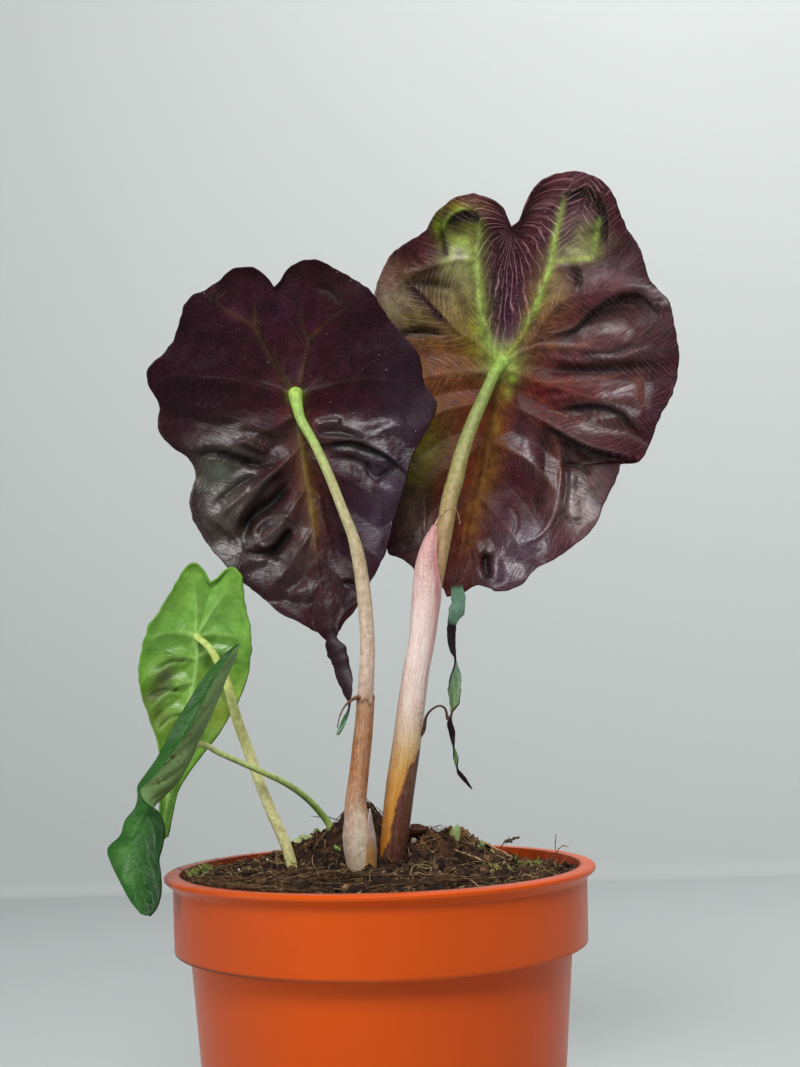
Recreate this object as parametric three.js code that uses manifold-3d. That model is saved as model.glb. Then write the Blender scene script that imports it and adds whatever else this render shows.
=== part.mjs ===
// A young alocasia in a round moulded nursery pot.
// Millimetres, +Z up. The origin is the centre of the pot's flat base, and the plant is seen from -Y.

import * as THREE from 'three';
import { mergeVertices } from 'three/addons/utils/BufferGeometryUtils.js';
import Module from 'manifold-3d';

const wasm = await Module();
wasm.setup();

// Clear space between pieces that touch on the real plant.
const gap = 0.3;

// The pot: 90 mm across the lip, with a straight collar above a tapered body.
const pot = {
  height: 80,
  lipRadius: 45,
  lipDepth: 1.5,
  collarRadius: 43.2,
  collarBottomRadius: 42.8,
  collarBottom: 64.9,
  bodyTopRadius: 39.7,
  baseRadius: 33.3,
  baseRound: 1.4,
  wall: 1.3,
  floor: 1.5,
  segments: 48,
  drainHoles: 6,
  drainRadius: 3.5,
  drainCircle: 22,
};

// The soil lies just under the lip in front and is heaped round the stems.
const soil = {
  level: 78.6,
  rings: 10,
  segments: 40,
  lump: 0.55,
  heaps: [
    { x: -2.8, y: 11, height: 10, spreadX: 5, spreadY: 6 },
    { x: -12.8, y: 12, height: 6, spreadX: 8, spreadY: 7.5 },
    { x: 13.2, y: 13, height: 7.2, spreadX: 8, spreadY: 8 },
  ],
  hollow: { x: 34, y: 20, depth: 3.2, spread: 9 },
};

const corm = { x: -0.8, y: 1.5, z: 66, radius: 7.5, halfHeight: 7 };

// Stems, each as [x, y, z, radius] from the blade down into the soil.
const petioleLeft = [
  [-17.8, 18.4, 190.5, 1.5], [-17.4, 14.8, 187, 1.5], [-16.9, 12.9, 183.5, 1.3], [-16.1, 11.9, 180.5, 1.15],
  [-13.1, 10.2, 174.5, 1.05], [-9.4, 8, 165.5, 1.1], [-6.4, 6.2, 157, 1.15], [-4.6, 5.3, 152, 1.25],
  [-3.5, 4.6, 147.5, 1.5], [-2.4, 3.5, 139.5, 1.6], [-1.7, 2.2, 127, 1.62], [-2, 1.5, 121.5, 1.7],
  [-2.4, 1, 115.6, 1.74], [-2.4, 1, 115, 1.92], [-2.8, 0.6, 110, 1.9], [-4.1, -0.3, 99.5, 2.1],
  [-5, -0.8, 92.5, 2.35], [-4.8, -1, 89.5, 2.75], [-4.6, -1, 86.5, 3.35], [-4.3, -1, 83.5, 3.4],
  [-4, -1, 80, 3.05], [-3.4, -0.6, 75, 2.7], [-2.6, 0.4, 68, 2.2],
];
const petioleLeftThread = [
  [-2.7, 0.6, 114.6, 0.6], [-4.2, -0.6, 115.3, 0.5], [-5.3, -1.6, 114.8, 0.35],
  [-6.8, -2.2, 113.5, 0.3], [-7.9, -2.5, 111.5, 0.3], [-8.5, -2.2, 109, 0.3],
];
const petioleRight = [
  [35.6, 32.6, 202, 1.6], [33.4, 28.9, 198, 1.6], [31.8, 27.1, 195.8, 1.5], [30.2, 25.6, 192.6, 1.45],
  [27.6, 23.4, 187, 1.58], [24.8, 21, 180.7, 1.7], [21.9, 18.3, 173, 1.85], [19.9, 16, 166, 2],
  [18.3, 14.2, 161, 1.98], [16.7, 11.9, 153.2, 1.92], [15.3, 10.1, 147.2, 1.9], [14, 8.4, 141.5, 1.88],
  [12.3, 6.6, 134.5, 1.65], [10.4, 5, 127.7, 1.45], [7.8, 4.1, 114.6, 1.4], [6, 3.4, 103.8, 1.4],
  [4.1, 2.9, 92, 1.4], [2.4, 2.4, 80.5, 1.4], [1, 2, 68, 1.4],
];
const petioleSmallLight = [
  [-39.6, 4.4, 130.6, 0.7], [-38.7, 2, 129.2, 0.7], [-37.1, 0.6, 128, 0.72], [-35.5, -0.2, 126.2, 0.78],
  [-33.9, -0.5, 123.3, 0.88], [-32.4, -0.5, 119.8, 0.97], [-29.8, -0.1, 110.5, 1.12], [-27.5, 0.6, 104, 1.13],
  [-25.3, 1.1, 97.5, 1.13], [-22.8, 1.5, 91, 1.15], [-20, 1.6, 84.5, 1.17], [-18.3, 1.6, 79, 1.2],
  [-15.3, 1.6, 73.5, 1.2], [-10.8, 1.6, 69, 1.2], [-4.8, 1.6, 66.5, 1.2],
];
const petioleSmallDark = [
  [-36.4, -12, 106.6, 0.62], [-35, -10.6, 106, 0.6], [-33.3, -9, 104.8, 0.6], [-28.8, -6, 102.4, 0.6],
  [-24.1, -3.2, 100, 0.62], [-19.5, 0.8, 97.3, 0.65], [-15.7, 5, 94.1, 0.7], [-13.1, 8, 91, 0.74],
  [-11.2, 9.6, 88.2, 0.77], [-9.2, 10, 83, 0.8], [-7.2, 8, 76, 0.8], [-3.8, 3.5, 68, 0.8],
];
// The papery sheath round the right stem: [x, y, z, radius], with its hollow side behind.
const sheath = [
  [14.4, 6.4, 154.4, 0.3], [13.8, 6.2, 151.8, 1], [12.8, 5.9, 148.6, 1.85], [12, 5.5, 144.2, 2.6],
  [11.8, 5.3, 139, 3.22], [11.2, 5.1, 133.3, 3.12], [10.4, 4.8, 127.7, 2.92], [8.9, 4.3, 121, 2.9],
  [7.9, 4, 115.2, 2.97], [6.1, 3.3, 103.8, 3.1], [4.9, 2.9, 97.2, 3.15], [4.1, 2.6, 92, 3.1],
  [3.2, 2.4, 85.6, 2.95], [2.4, 2.2, 80.5, 2.7], [1.9, 2, 75.5, 2.4],
];
const sheathHollow = [
  [15.4, 8.6, 156, 0.5], [14.8, 8.2, 152, 0.9], [13.8, 7.7, 148.6, 1.5], [13, 7, 144.2, 2.1],
  [12.7, 6.7, 139, 2.5], [12.1, 6.2, 134, 2.2], [11.2, 5.4, 129, 1.7],
];
const sheathTipThread = [
  [14.1, 6.3, 153, 0.45], [15.4, 5.8, 155.4, 0.32], [17.2, 5.8, 157.2, 0.3],
  [18.7, 6.6, 157.5, 0.3], [19.7, 8.4, 155.8, 0.3],
];
const sheathLowThread = [
  [8.6, 3.4, 106, 0.6], [10.1, 2.6, 108, 0.45], [10.7, 1.5, 110.8, 0.35], [12, 0.6, 112.4, 0.3],
  [13.7, 0.5, 113.1, 0.3], [14.8, 1, 112.5, 0.3], [15.2, 1.5, 111, 0.3],
];

const blade = {
  thickness: 0.8,
  ribHeight: 0.6,
  halfSteps: [0, 0.07, 0.2, 0.35, 0.51, 0.67, 0.81, 0.92, 1],
};

// Each flat leaf is drawn in its own plane: x to the right, y from the hub towards the drip tip.
// The hub is where the stem meets the blade. Veins rise towards the viewer, and the
// skin between them is pushed away. A fold is a line where the skin above overhangs.
const leafLeft = {
  hub: [-17.4, 16, 187.1],
  yaw: 0,
  tilt: 12,
  rows: 26,
  cup: { across: 220, tip: 260, lobe: 300 },
  hubDip: { depth: 1.5, spread: 4 },
  quilt: { depth: 1.9, reach: 4.6, lobeShare: 0.35 },
  wave: { height: 1.1, count: 7, phase: 0.6 },
  leftEdge: [
    [-4.5, -25], [-6.5, -28], [-9.5, -30], [-14, -29.5], [-19, -26], [-24, -23], [-26.5, -17.5], [-30, -11],
    [-33.5, -7], [-34, -3.5], [-32, 1.5], [-32, 7], [-29.5, 10.5], [-25, 15], [-24, 17.5], [-25, 23],
    [-24.5, 28], [-21.5, 34], [-16, 40], [-10, 46], [-4.5, 50], [0.5, 52.5], [4, 55], [6.3, 57.5],
  ],
  rightEdge: [
    [-4.5, -25], [-2.5, -27], [-0.5, -30], [4.5, -31.5], [10.5, -29.5], [18, -24], [22, -18.5], [27, -12],
    [29.5, -8], [30.5, -2.5], [33, 2], [31, 8], [27, 15], [25, 22], [22, 31], [19, 40], [16, 45],
    [12.5, 50], [9.8, 53], [8.8, 55.8],
  ],
  midrib: [[-4.5, -25], [-3, -18], [-1.5, -9], [0, 0], [1.5, 14], [3, 25], [4, 36], [5.5, 48], [7.5, 56.5]],
  veins: [
    [[0, 0], [-5.5, -9], [-9.5, -17], [-13, -21]],
    [[0, 0], [2.5, -9], [3, -13.5], [2.5, -21]],
    [[3, -13.5], [10, -18.5]],
    [[0, 0], [-6, -2.5], [-14, -4.5], [-28, -5], [-34, -4]],
    [[0, 0], [7, -2], [18, -4], [31, 0.5]],
    [[0.5, 4], [-4, 6.5], [-17, 12], [-24, 15]],
    [[1.5, 5.5], [6, 9.5], [16, 11], [25, 18]],
    [[1.5, 11.5], [-3, 15.5], [-15, 25], [-23, 29.5]],
    [[2, 14], [7.5, 17.5], [19.5, 25], [24, 27.5]],
    [[2.5, 21], [-5.5, 31.5], [-18, 39]],
    [[3, 24.5], [12.5, 34], [19, 39]],
    [[3.5, 31.5], [-4.5, 42.5], [-10, 46.5]],
    [[4.5, 37.5], [12.5, 45.5], [15, 47]],
    [[5, 43.5], [-1, 51.5]],
  ],
  folds: [{ line: [[5, 7], [12, 9.5], [17, 11.5], [24, 17]], height: 1.6, reach: 6 }],
};

const leafRight = {
  hub: [33.8, 30, 198.5],
  yaw: -10,
  tilt: 8,
  rows: 28,
  cup: { across: 260, tip: 240, lobe: 300 },
  hubDip: { depth: 1.5, spread: 4 },
  quilt: { depth: 2, reach: 5, lobeShare: 0.8 },
  wave: { height: 1.2, count: 8, phase: 2.1 },
  leftEdge: [
    [4, -33], [3, -35.5], [2, -38], [0, -40], [-2.5, -41.5], [-5.5, -42.3], [-11, -40], [-15, -37.5],
    [-17, -35],
    [-21.5, -31.5], [-27, -27.5], [-30, -22.5], [-31, -18], [-32.5, -9], [-33, 2], [-32, 15], [-31, 28],
    [-30.5, 40], [-29.5, 46], [-27, 47], [-24.5, 48.5], [-21.5, 52.5], [-17, 54.5], [-15, 57.3],
  ],
  rightEdge: [
    [4, -33], [6.5, -34.5], [8.5, -38.5], [11.5, -42.5], [15, -44.5], [20, -44.5], [26.5, -42],
    [29.5, -37.5],
    [31.5, -32], [35, -24], [37, -17.5], [39.5, -14], [41.5, -11], [42, -5.5], [43, 2], [41.5, 9.5],
    [38, 16], [35.5, 22], [33, 26.5], [30.5, 27], [28, 27], [27, 30], [24, 35.5], [21.5, 41],
    [17, 45.5], [10, 50], [6, 52], [3, 55], [-3, 56.5], [-8, 55.2], [-11.5, 57],
  ],
  midrib: [
    [4, -33], [2.5, -23], [1, -11], [0, 0], [-1.5, 9], [-4, 19],
    [-6, 29], [-8.5, 39], [-11, 49], [-13.3, 57.2],
  ],
  veins: [
    [[0, 0], [-3.5, -5.5], [-4.7, -12], [-4.5, -19], [-5.3, -26], [-3.7, -33], [-5.5, -39]],
    [[-5.3, -26], [-11.5, -26.3], [-19, -24], [-25, -21]],
    [[0, 0], [5, -6], [10.7, -17], [13.5, -24], [16, -34], [19.5, -41.5]],
    [[13, -22.3], [24, -23.4], [26, -31.5]],
    [[7, -4.5], [16, -14], [30, -15.5], [38, -14.5]],
    [[0, 0], [-6, -5.5], [-14, -11.5], [-23, -22.5]],
    [[-1, 3], [-9.5, 1.5], [-23.5, 3.5], [-32, 7]],
    [[0, 0], [8.5, -3.5], [24.5, -1.5], [41, 0.5]],
    [[0, 1], [10.5, 6], [28.5, 12.5], [38, 15.5]],
    [[-1, 7.5], [10, 17], [23, 23.5], [29, 26]],
    [[-2, 9], [-16, 11.5], [-31, 18.5]],
    [[-4, 19], [-18, 28], [-30.5, 39]],
    [[-4, 19], [8, 27.5], [14, 38], [16.5, 45.5]],
    [[-7.5, 34], [-13, 39], [-21, 49.5]],
    [[-7.3, 33], [1.5, 44.5], [4, 52]],
    [[-10, 44], [-5, 54.5]],
  ],
  folds: [
    { line: [[9, 16], [17, 21], [23, 23.5], [29.5, 26.5]], height: 3.2, reach: 8 },
    { line: [[-12, -33], [-9, -37], [-5, -38], [-2, -36]], height: 1.6, reach: 5 },
    { line: [[17, -39], [20, -40.5], [24, -39], [27, -34]], height: 1.8, reach: 5 },
  ],
};

const leafSmallLight = {
  hub: [-39.1, 3.4, 129.7],
  yaw: 0,
  tilt: 8,
  rows: 18,
  cup: { across: 110, tip: 220, lobe: 160 },
  hubDip: { depth: 0.8, spread: 2.5 },
  quilt: { depth: 0.9, reach: 2.6, lobeShare: 0.8 },
  wave: { height: 0.4, count: 5, phase: 0 },
  leftEdge: [
    [3, -11.5], [1.5, -14.5], [0, -16], [-1.5, -15.5], [-3.5, -13], [-7.5, -6.5], [-11, -1], [-12.5, 6],
    [-11.5, 14.5], [-8.5, 22], [-7.6, 30], [-7.6, 36.5], [-7.2, 41.6],
  ],
  rightEdge: [
    [3, -11.5], [5, -12.5], [7, -14.5], [8.5, -14.8], [10, -13], [10.7, -6], [11.8, 0], [11.5, 6.5],
    [9, 13.5], [5, 20.3], [0.5, 25.7], [-4, 32.2], [-5.7, 39.5], [-6, 41.8],
  ],
  midrib: [[3, -11.5], [1.5, -5.5], [0, 0], [0, 5.5], [-2, 16], [-5, 27.5], [-6.4, 37.5], [-6.6, 42.3]],
  veins: [
    [[0, 0], [-0.3, -11], [-1.5, -13]],
    [[0, 0], [5.3, -8], [7.5, -10.5]],
    [[0, 0], [-4, -0.8], [-8, -0.7], [-11, 1]],
    [[0, 0], [5, -0.3], [11, 1]],
    [[0, 4.8], [-3.3, 4.7], [-11, 9]],
    [[0.2, 4.4], [4, 3.2], [11, 6]],
    [[-0.8, 10], [-4.3, 10.6], [-11, 16]],
    [[-1.5, 13], [3, 14], [7, 16]],
    [[-2.2, 16], [-5, 17], [-9, 21]],
    [[-4, 23], [-6, 25], [-8, 28]],
  ],
  folds: [],
};

// The folded small leaf: its far edge, its rib and its near edge, from the lobes down to the tip.
const leafSmallDark = {
  rows: 26,
  columnsPerHalf: 5,
  thickness: 0.8,
  bow: 0.3,
  farEdge: [
    [-28.8, -11.5, 126.8], [-31.8, -9, 124.7], [-36.3, -8, 120], [-39.3, -7, 115.6], [-42.2, -7, 111],
    [-44.3, -7, 107], [-46, -8, 103.6], [-48.1, -9, 100.5], [-49.4, -10, 98.3], [-49.1, -11.5, 96.2],
    [-49.4, -12.5, 94.2], [-51.2, -13.3, 91.8], [-52, -14, 89], [-54.4, -14.5, 86.4], [-53.6, -15, 83.7],
    [-51.6, -16, 80.2], [-49.1, -17.3, 76.4], [-47, -18.2, 74.2],
  ],
  rib: [
    [-28.7, -12, 126.5], [-29.3, -12, 124.2], [-31, -12, 120.5], [-33, -12, 115.5], [-35.2, -12, 110.7],
    [-37.1, -12, 106.7], [-38.9, -12.5, 102.8], [-41.1, -13, 99.2], [-43.3, -13.6, 96.8],
    [-45.2, -14.2, 95],
    [-46.5, -14.8, 93], [-47.1, -15.4, 91], [-47.4, -16.2, 88], [-47.7, -17, 85], [-47.5, -17.6, 82],
    [-47, -18.2, 78.7], [-46.4, -18.7, 76], [-46.1, -18.9, 74],
  ],
  nearEdge: [
    [-28.7, -12.6, 126.4], [-29.8, -15, 124.9], [-33.1, -16.5, 119.7], [-35.4, -17, 115],
    [-37.8, -17, 110.2],
    [-40.6, -17, 106.2], [-43.1, -17, 102.7], [-45.6, -17.4, 99.8], [-47.4, -18, 97.8],
    [-46.6, -18.8, 95.5],
    [-43.8, -18.6, 93.2], [-42.7, -18.4, 90.3], [-43, -18.6, 87], [-43.6, -19, 84.4], [-43.2, -19.4, 82],
    [-43, -19.6, 78.5], [-43.8, -19.6, 75.5], [-45.2, -19.4, 74],
  ],
};

// Drip tips: [x, y, z, half width, turn in degrees], twisted ribbons that hang below the blades.
const tailLeft = {
  thickness: 1,
  stations: [
    [-10.4, 15.7, 132, 1.2, 0], [-10, 15.5, 130, 1.15, 0], [-9.7, 15.2, 128, 1.85, 5],
    [-8.9, 15, 126.4, 2.4, 10],
    [-8.1, 14.5, 124.3, 2.05, 10], [-7.5, 14, 121.7, 1.85, 10], [-6.8, 13, 119, 1.6, 20],
    [-6.4, 12, 116.4, 1.15, 40],
    [-6.2, 11.3, 114.4, 0.6, 75], [-6.5, 11, 112.6, 0.45, 100], [-7.1, 10.5, 111, 0.55, 150],
    [-8, 10, 109, 0.5, 180], [-8.8, 9.5, 107.4, 0.4, 200],
  ],
};
const tailRight = {
  thickness: 1,
  stations: [
    [20.1, 26.2, 142.2, 1.6, 0], [20.3, 26.2, 140, 1.7, 0], [20.4, 26, 138, 1.7, 0],
    [19.8, 25.6, 135.8, 2.1, -15],
    [19, 25.8, 134, 1.6, -30], [18.6, 26, 132.6, 1.1, 0], [18.4, 26, 129, 1.1, 20],
    [18.6, 26, 126.3, 0.9, 50],
    [19, 26, 124.6, 0.7, 90], [19.1, 26, 120.6, 1.4, 150], [18.7, 26, 117.1, 1.6, 180],
    [18.6, 26, 114, 1.25, 200],
    [18, 26, 111.6, 0.6, 270], [17.4, 26, 109.1, 0.75, 330], [17.8, 26, 107.1, 0.8, 360],
    [17.9, 26, 103.8, 0.5, 450], [18.4, 26, 101.7, 0.65, 520], [18.7, 26, 99.6, 0.45, 600],
    [19.3, 26, 97.6, 0.65, 680], [20.4, 26, 96.1, 0.5, 720], [21.4, 26, 94.7, 0.35, 720],
  ],
};

const shoot = { x: 16.2, y: 9, bottom: 80, top: 87.2, radius: 1.3, leanX: 0.5 };
const chip = { x: 8.4, y: 8.5, z: 86.4, length: 4.2, width: 2.6, thickness: 1.4, lean: 28, turn: 20 };

const paint = (color, roughness) => new THREE.MeshStandardMaterial({ color, roughness, metalness: 0 });
const materials = {
  pot: paint(0xc8501c, 0.42),
  soil: paint(0x2e2119, 0.95),
  corm: paint(0x8a6a4a, 0.8),
  petioleLeft: paint(0xb59a86, 0.5),
  petioleRight: paint(0x8f8a45, 0.5),
  sheath: paint(0xd9b5ab, 0.6),
  bladeDark: paint(0x35161d, 0.38),
  bladeRight: paint(0x4a2226, 0.38),
  bladeLight: paint(0x6f9c34, 0.45),
  bladeGreen: paint(0x2c5a1e, 0.35),
  stemGreen: paint(0xb7bd66, 0.5),
  shoot: paint(0xb9c98a, 0.5),
  bark: paint(0x6b4c33, 0.9),
};

function smoothCurve(points) {
  const vectors = points.map(([x, y, z = 0]) => new THREE.Vector3(x, y, z));
  const curve = new THREE.CatmullRomCurve3(vectors, false, 'centripetal');
  curve.arcLengthDivisions = 400;
  return curve;
}

// A closed body from rings of equal length, with a fan over each end.
function loftGeometry(rings) {
  const count = rings[0].length;
  const positions = [];
  const indices = [];
  for (const ring of rings) {
    for (const point of ring) positions.push(point.x, point.y, point.z);
  }
  for (let row = 0; row + 1 < rings.length; row += 1) {
    for (let i = 0; i < count; i += 1) {
      const a = row * count + i;
      const b = row * count + ((i + 1) % count);
      indices.push(a, b, b + count, a, b + count, a + count);
    }
  }
  [0, rings.length - 1].forEach((row, end) => {
    const centre = positions.length / 3;
    const middle = new THREE.Vector3();
    rings[row].forEach((point) => middle.add(point));
    middle.divideScalar(count);
    positions.push(middle.x, middle.y, middle.z);
    for (let i = 0; i < count; i += 1) {
      const a = row * count + i;
      const b = row * count + ((i + 1) % count);
      indices.push(centre, end ? a : b, end ? b : a);
    }
  });
  return closedGeometry(positions, indices);
}

// Joins equal points, drops flat triangles and turns the body's faces outwards.
function closedGeometry(positions, indices) {
  const raw = new THREE.BufferGeometry();
  raw.setAttribute('position', new THREE.Float32BufferAttribute(positions, 3));
  raw.setIndex(indices);
  const merged = mergeVertices(raw, 1e-3);
  const index = merged.getIndex();
  const kept = [];
  for (let i = 0; i < index.count; i += 3) {
    const [a, b, c] = [index.getX(i), index.getX(i + 1), index.getX(i + 2)];
    if (a !== b && b !== c && c !== a) kept.push(a, b, c);
  }
  const place = merged.getAttribute('position');
  const corner = (i) => new THREE.Vector3().fromBufferAttribute(place, i);
  let volume = 0;
  for (let i = 0; i < kept.length; i += 3) {
    volume += corner(kept[i]).dot(corner(kept[i + 1]).cross(corner(kept[i + 2])));
  }
  merged.setIndex(volume > 0 ? kept : kept.reverse());
  return merged;
}

function solidFrom(geometry) {
  return new wasm.Manifold(new wasm.Mesh({
    numProp: 3,
    vertProperties: new Float32Array(geometry.getAttribute('position').array),
    triVerts: new Uint32Array(geometry.getIndex().array),
  }));
}

function meshFrom(solid, name, material) {
  const data = solid.getMesh();
  const geometry = new THREE.BufferGeometry();
  geometry.setAttribute('position', new THREE.Float32BufferAttribute(data.vertProperties, 3));
  geometry.setIndex(new THREE.Uint32BufferAttribute(data.triVerts, 1));
  geometry.computeVertexNormals();
  const mesh = new THREE.Mesh(geometry, material);
  mesh.name = name;
  return mesh;
}

// A round stem along hand-set stations, with an extra radius where it cuts its own room.
function stemSolid(stations, sides, perSpan, extra = 0) {
  const path = smoothCurve(stations);
  const steps = (stations.length - 1) * perSpan;
  const rings = [];
  let across = new THREE.Vector3(1, 0, 0);
  for (let step = 0; step <= steps; step += 1) {
    const along = step / steps;
    const span = Math.min(Math.floor(along * (stations.length - 1)), stations.length - 2);
    const share = along * (stations.length - 1) - span;
    const radius = stations[span][3] + (stations[span + 1][3] - stations[span][3]) * share + extra;
    const centre = path.getPoint(along);
    const tangent = path.getTangent(along);
    across = across.clone().addScaledVector(tangent, -across.dot(tangent)).normalize();
    const other = tangent.clone().cross(across);
    const ring = [];
    for (let i = 0; i < sides; i += 1) {
      const angle = (i / sides) * 2 * Math.PI;
      ring.push(centre.clone()
        .addScaledVector(across, Math.cos(angle) * radius)
        .addScaledVector(other, Math.sin(angle) * radius));
    }
    rings.push(ring);
  }
  return solidFrom(loftGeometry(rings));
}

// A flat ribbon along its stations, turned about its own length.
function ribbonSolid({ thickness, stations }, perSpan) {
  const path = smoothCurve(stations);
  const steps = (stations.length - 1) * perSpan;
  const rings = [];
  for (let step = 0; step <= steps; step += 1) {
    const along = step / steps;
    const span = Math.min(Math.floor(along * (stations.length - 1)), stations.length - 2);
    const share = along * (stations.length - 1) - span;
    const [from, to] = [stations[span], stations[span + 1]];
    const mix = (field) => from[field] + (to[field] - from[field]) * share;
    const centre = path.getPoint(along);
    const tangent = path.getTangent(along);
    const across = new THREE.Vector3(1, 0, 0).addScaledVector(tangent, -tangent.x).normalize();
    across.applyAxisAngle(tangent, THREE.MathUtils.degToRad(mix(4)));
    const through = tangent.clone().cross(across);
    const half = mix(3);
    const deep = Math.min(thickness / 2, half);
    const section = [[1, 0.7], [0, 1], [-1, 0.7], [-1, -0.7], [0, -1], [1, -0.7]];
    rings.push(section.map(([u, v]) => centre.clone()
      .addScaledVector(across, u * half)
      .addScaledVector(through, v * deep)));
  }
  return solidFrom(loftGeometry(rings));
}

// Nearest distance from a point to a line of points, its side and how far along it lies.
function nearestOnLine(line, x, y) {
  const best = { distance: Infinity, side: 0, along: 0 };
  for (let i = 0; i + 1 < line.length; i += 1) {
    const [ax, ay] = line[i];
    const dx = line[i + 1][0] - ax;
    const dy = line[i + 1][1] - ay;
    const share = Math.min(1, Math.max(0, ((x - ax) * dx + (y - ay) * dy) / (dx * dx + dy * dy)));
    const distance = Math.hypot(x - ax - dx * share, y - ay - dy * share);
    if (distance < best.distance) {
      best.distance = distance;
      best.side = Math.sign(dy * (x - ax) - dx * (y - ay));
      best.along = (i + share) / (line.length - 1);
    }
  }
  return best;
}

// Height of the skin above the leaf's own plane, positive away from the viewer.
function leafHeight(leaf, x, y, s, t) {
  const { cup, hubDip, quilt, wave } = leaf;
  let height = -(x * x) / cup.across - (y * y) / (y > 0 ? cup.tip : cup.lobe);
  height -= hubDip.depth * Math.exp(-(x * x + y * y) / (2 * hubDip.spread ** 2));
  const lines = [leaf.midrib, ...leaf.veins];
  const distance = Math.min(...lines.map((line) => nearestOnLine(line, x, y).distance));
  const share = y < 0 ? quilt.lobeShare : 1;
  const rim = 1 - Math.abs(t) ** 6;
  height += quilt.depth * share * rim * (1 - Math.exp(-((distance / quilt.reach) ** 2)));
  for (const fold of leaf.folds) {
    const near = nearestOnLine(fold.line, x, y);
    const step = near.side > 0 ? Math.max(0, 1 - near.distance / fold.reach) : 0;
    height -= fold.height * step * Math.min(1, 0.3 + near.along);
  }
  const ripple = Math.sin(2 * Math.PI * wave.count * s + wave.phase + (t < 0 ? 1.3 : 0));
  return height + wave.height * Math.abs(t) ** 5 * ripple * Math.min(1, s * 8);
}

// The leaf as a thin body: near and far are the distances of its two faces from the skin.
function leafSolid(leaf, near, far) {
  const left = smoothCurve(leaf.leftEdge);
  const right = smoothCurve(leaf.rightEdge);
  const rib = smoothCurve(leaf.midrib);
  const steps = [...blade.halfSteps.slice(1).reverse().map((step) => -step), ...blade.halfSteps];
  const yaw = THREE.MathUtils.degToRad(leaf.yaw);
  const tilt = THREE.MathUtils.degToRad(leaf.tilt);
  const ex = new THREE.Vector3(Math.cos(yaw), Math.sin(yaw), 0);
  const back = new THREE.Vector3(-Math.sin(yaw), Math.cos(yaw), 0);
  const ey = back.clone().multiplyScalar(Math.sin(tilt)).add(new THREE.Vector3(0, 0, -Math.cos(tilt)));
  const out = back.clone().multiplyScalar(Math.cos(tilt)).add(new THREE.Vector3(0, 0, Math.sin(tilt)));
  const rings = [];
  for (let row = 0; row <= leaf.rows; row += 1) {
    const s = row / leaf.rows;
    const middle = rib.getPointAt(s);
    const faces = [[], []];
    for (const t of steps) {
      const edge = (t < 0 ? left : right).getPointAt(s);
      const x = middle.x + (edge.x - middle.x) * Math.abs(t);
      const y = middle.y + (edge.y - middle.y) * Math.abs(t);
      const height = leafHeight(leaf, x, y, s, t);
      const ridge = t === 0 ? blade.ribHeight * Math.min(1, s * 10, (1 - s) * 10) : 0;
      [height - near - ridge, height + far].forEach((level, face) => {
        faces[face].push(new THREE.Vector3(...leaf.hub)
          .addScaledVector(ex, x).addScaledVector(ey, y).addScaledVector(out, level));
      });
    }
    rings.push([...faces[0], ...faces[1].reverse()]);
  }
  return solidFrom(leafRings(rings));
}

// Both faces of a blade from its rings: each ring runs over the near face and back over the far one.
function leafRings(rings) {
  const count = rings[0].length;
  const positions = [];
  const indices = [];
  for (const ring of rings) {
    for (const point of ring) positions.push(point.x, point.y, point.z);
  }
  const last = (rings.length - 1) * count;
  for (let row = 0; row + 1 < rings.length; row += 1) {
    for (let i = 0; i < count; i += 1) {
      const j = (i + 1) % count;
      const [a, b, c, d] = [row * count + i, row * count + j, (row + 1) * count + j, (row + 1) * count + i];
      if (i < count / 2 - 1) indices.push(a, b, c, a, c, d);
      else indices.push(a, b, d, b, c, d);
    }
  }
  for (let i = 0; i + 1 < count / 2; i += 1) {
    const [a, b, c, d] = [i, i + 1, count - 2 - i, count - 1 - i];
    indices.push(b, a, d, b, d, c);
    indices.push(last + a, last + b, last + c, last + a, last + c, last + d);
  }
  return closedGeometry(positions, indices);
}

// The folded leaf spans its three long lines, bowed a little between them.
function foldedLeafSolid(leaf, extra = 0) {
  const far = smoothCurve(leaf.farEdge);
  const rib = smoothCurve(leaf.rib);
  const near = smoothCurve(leaf.nearEdge);
  const width = leaf.columnsPerHalf * 2 + 1;
  const points = [];
  for (let row = 0; row <= leaf.rows; row += 1) {
    const along = row / leaf.rows;
    const [a, m, b] = [far.getPoint(along), rib.getPoint(along), near.getPoint(along)];
    const forward = rib.getTangent(along);
    const line = [];
    for (let column = -leaf.columnsPerHalf; column <= leaf.columnsPerHalf; column += 1) {
      const share = Math.abs(column) / leaf.columnsPerHalf;
      const edge = column < 0 ? a : b;
      const across = edge.clone().sub(m);
      const lift = forward.clone().cross(across).normalize().multiplyScalar(column < 0 ? 1 : -1);
      const bow = leaf.bow * Math.sin(Math.PI * share) * Math.min(1, across.length() / 5);
      line.push(m.clone().addScaledVector(across, share).addScaledVector(lift, bow));
    }
    points.push(line);
  }
  const at = (row, column) => points[row][Math.min(width - 1, Math.max(0, column))];
  const rings = points.map((line, row) => {
    const before = Math.max(0, row - 1);
    const after = Math.min(points.length - 1, row + 1);
    const faces = [[], []];
    line.forEach((point, column) => {
      const down = at(after, column).clone().sub(at(before, column));
      const over = at(row, column + 1).clone().sub(at(row, column - 1));
      const normal = down.cross(over).normalize();
      const half = leaf.thickness / 2 + extra;
      faces[0].push(point.clone().addScaledVector(normal, half));
      faces[1].push(point.clone().addScaledVector(normal, -half));
    });
    return [...faces[0], ...faces[1].reverse()];
  });
  return solidFrom(leafRings(rings));
}

// A solid from one of the ready-made round shapes.
function solidOf(geometry) {
  const place = geometry.getAttribute('position');
  return solidFrom(closedGeometry(Array.from(place.array), Array.from(geometry.getIndex().array)));
}

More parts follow.
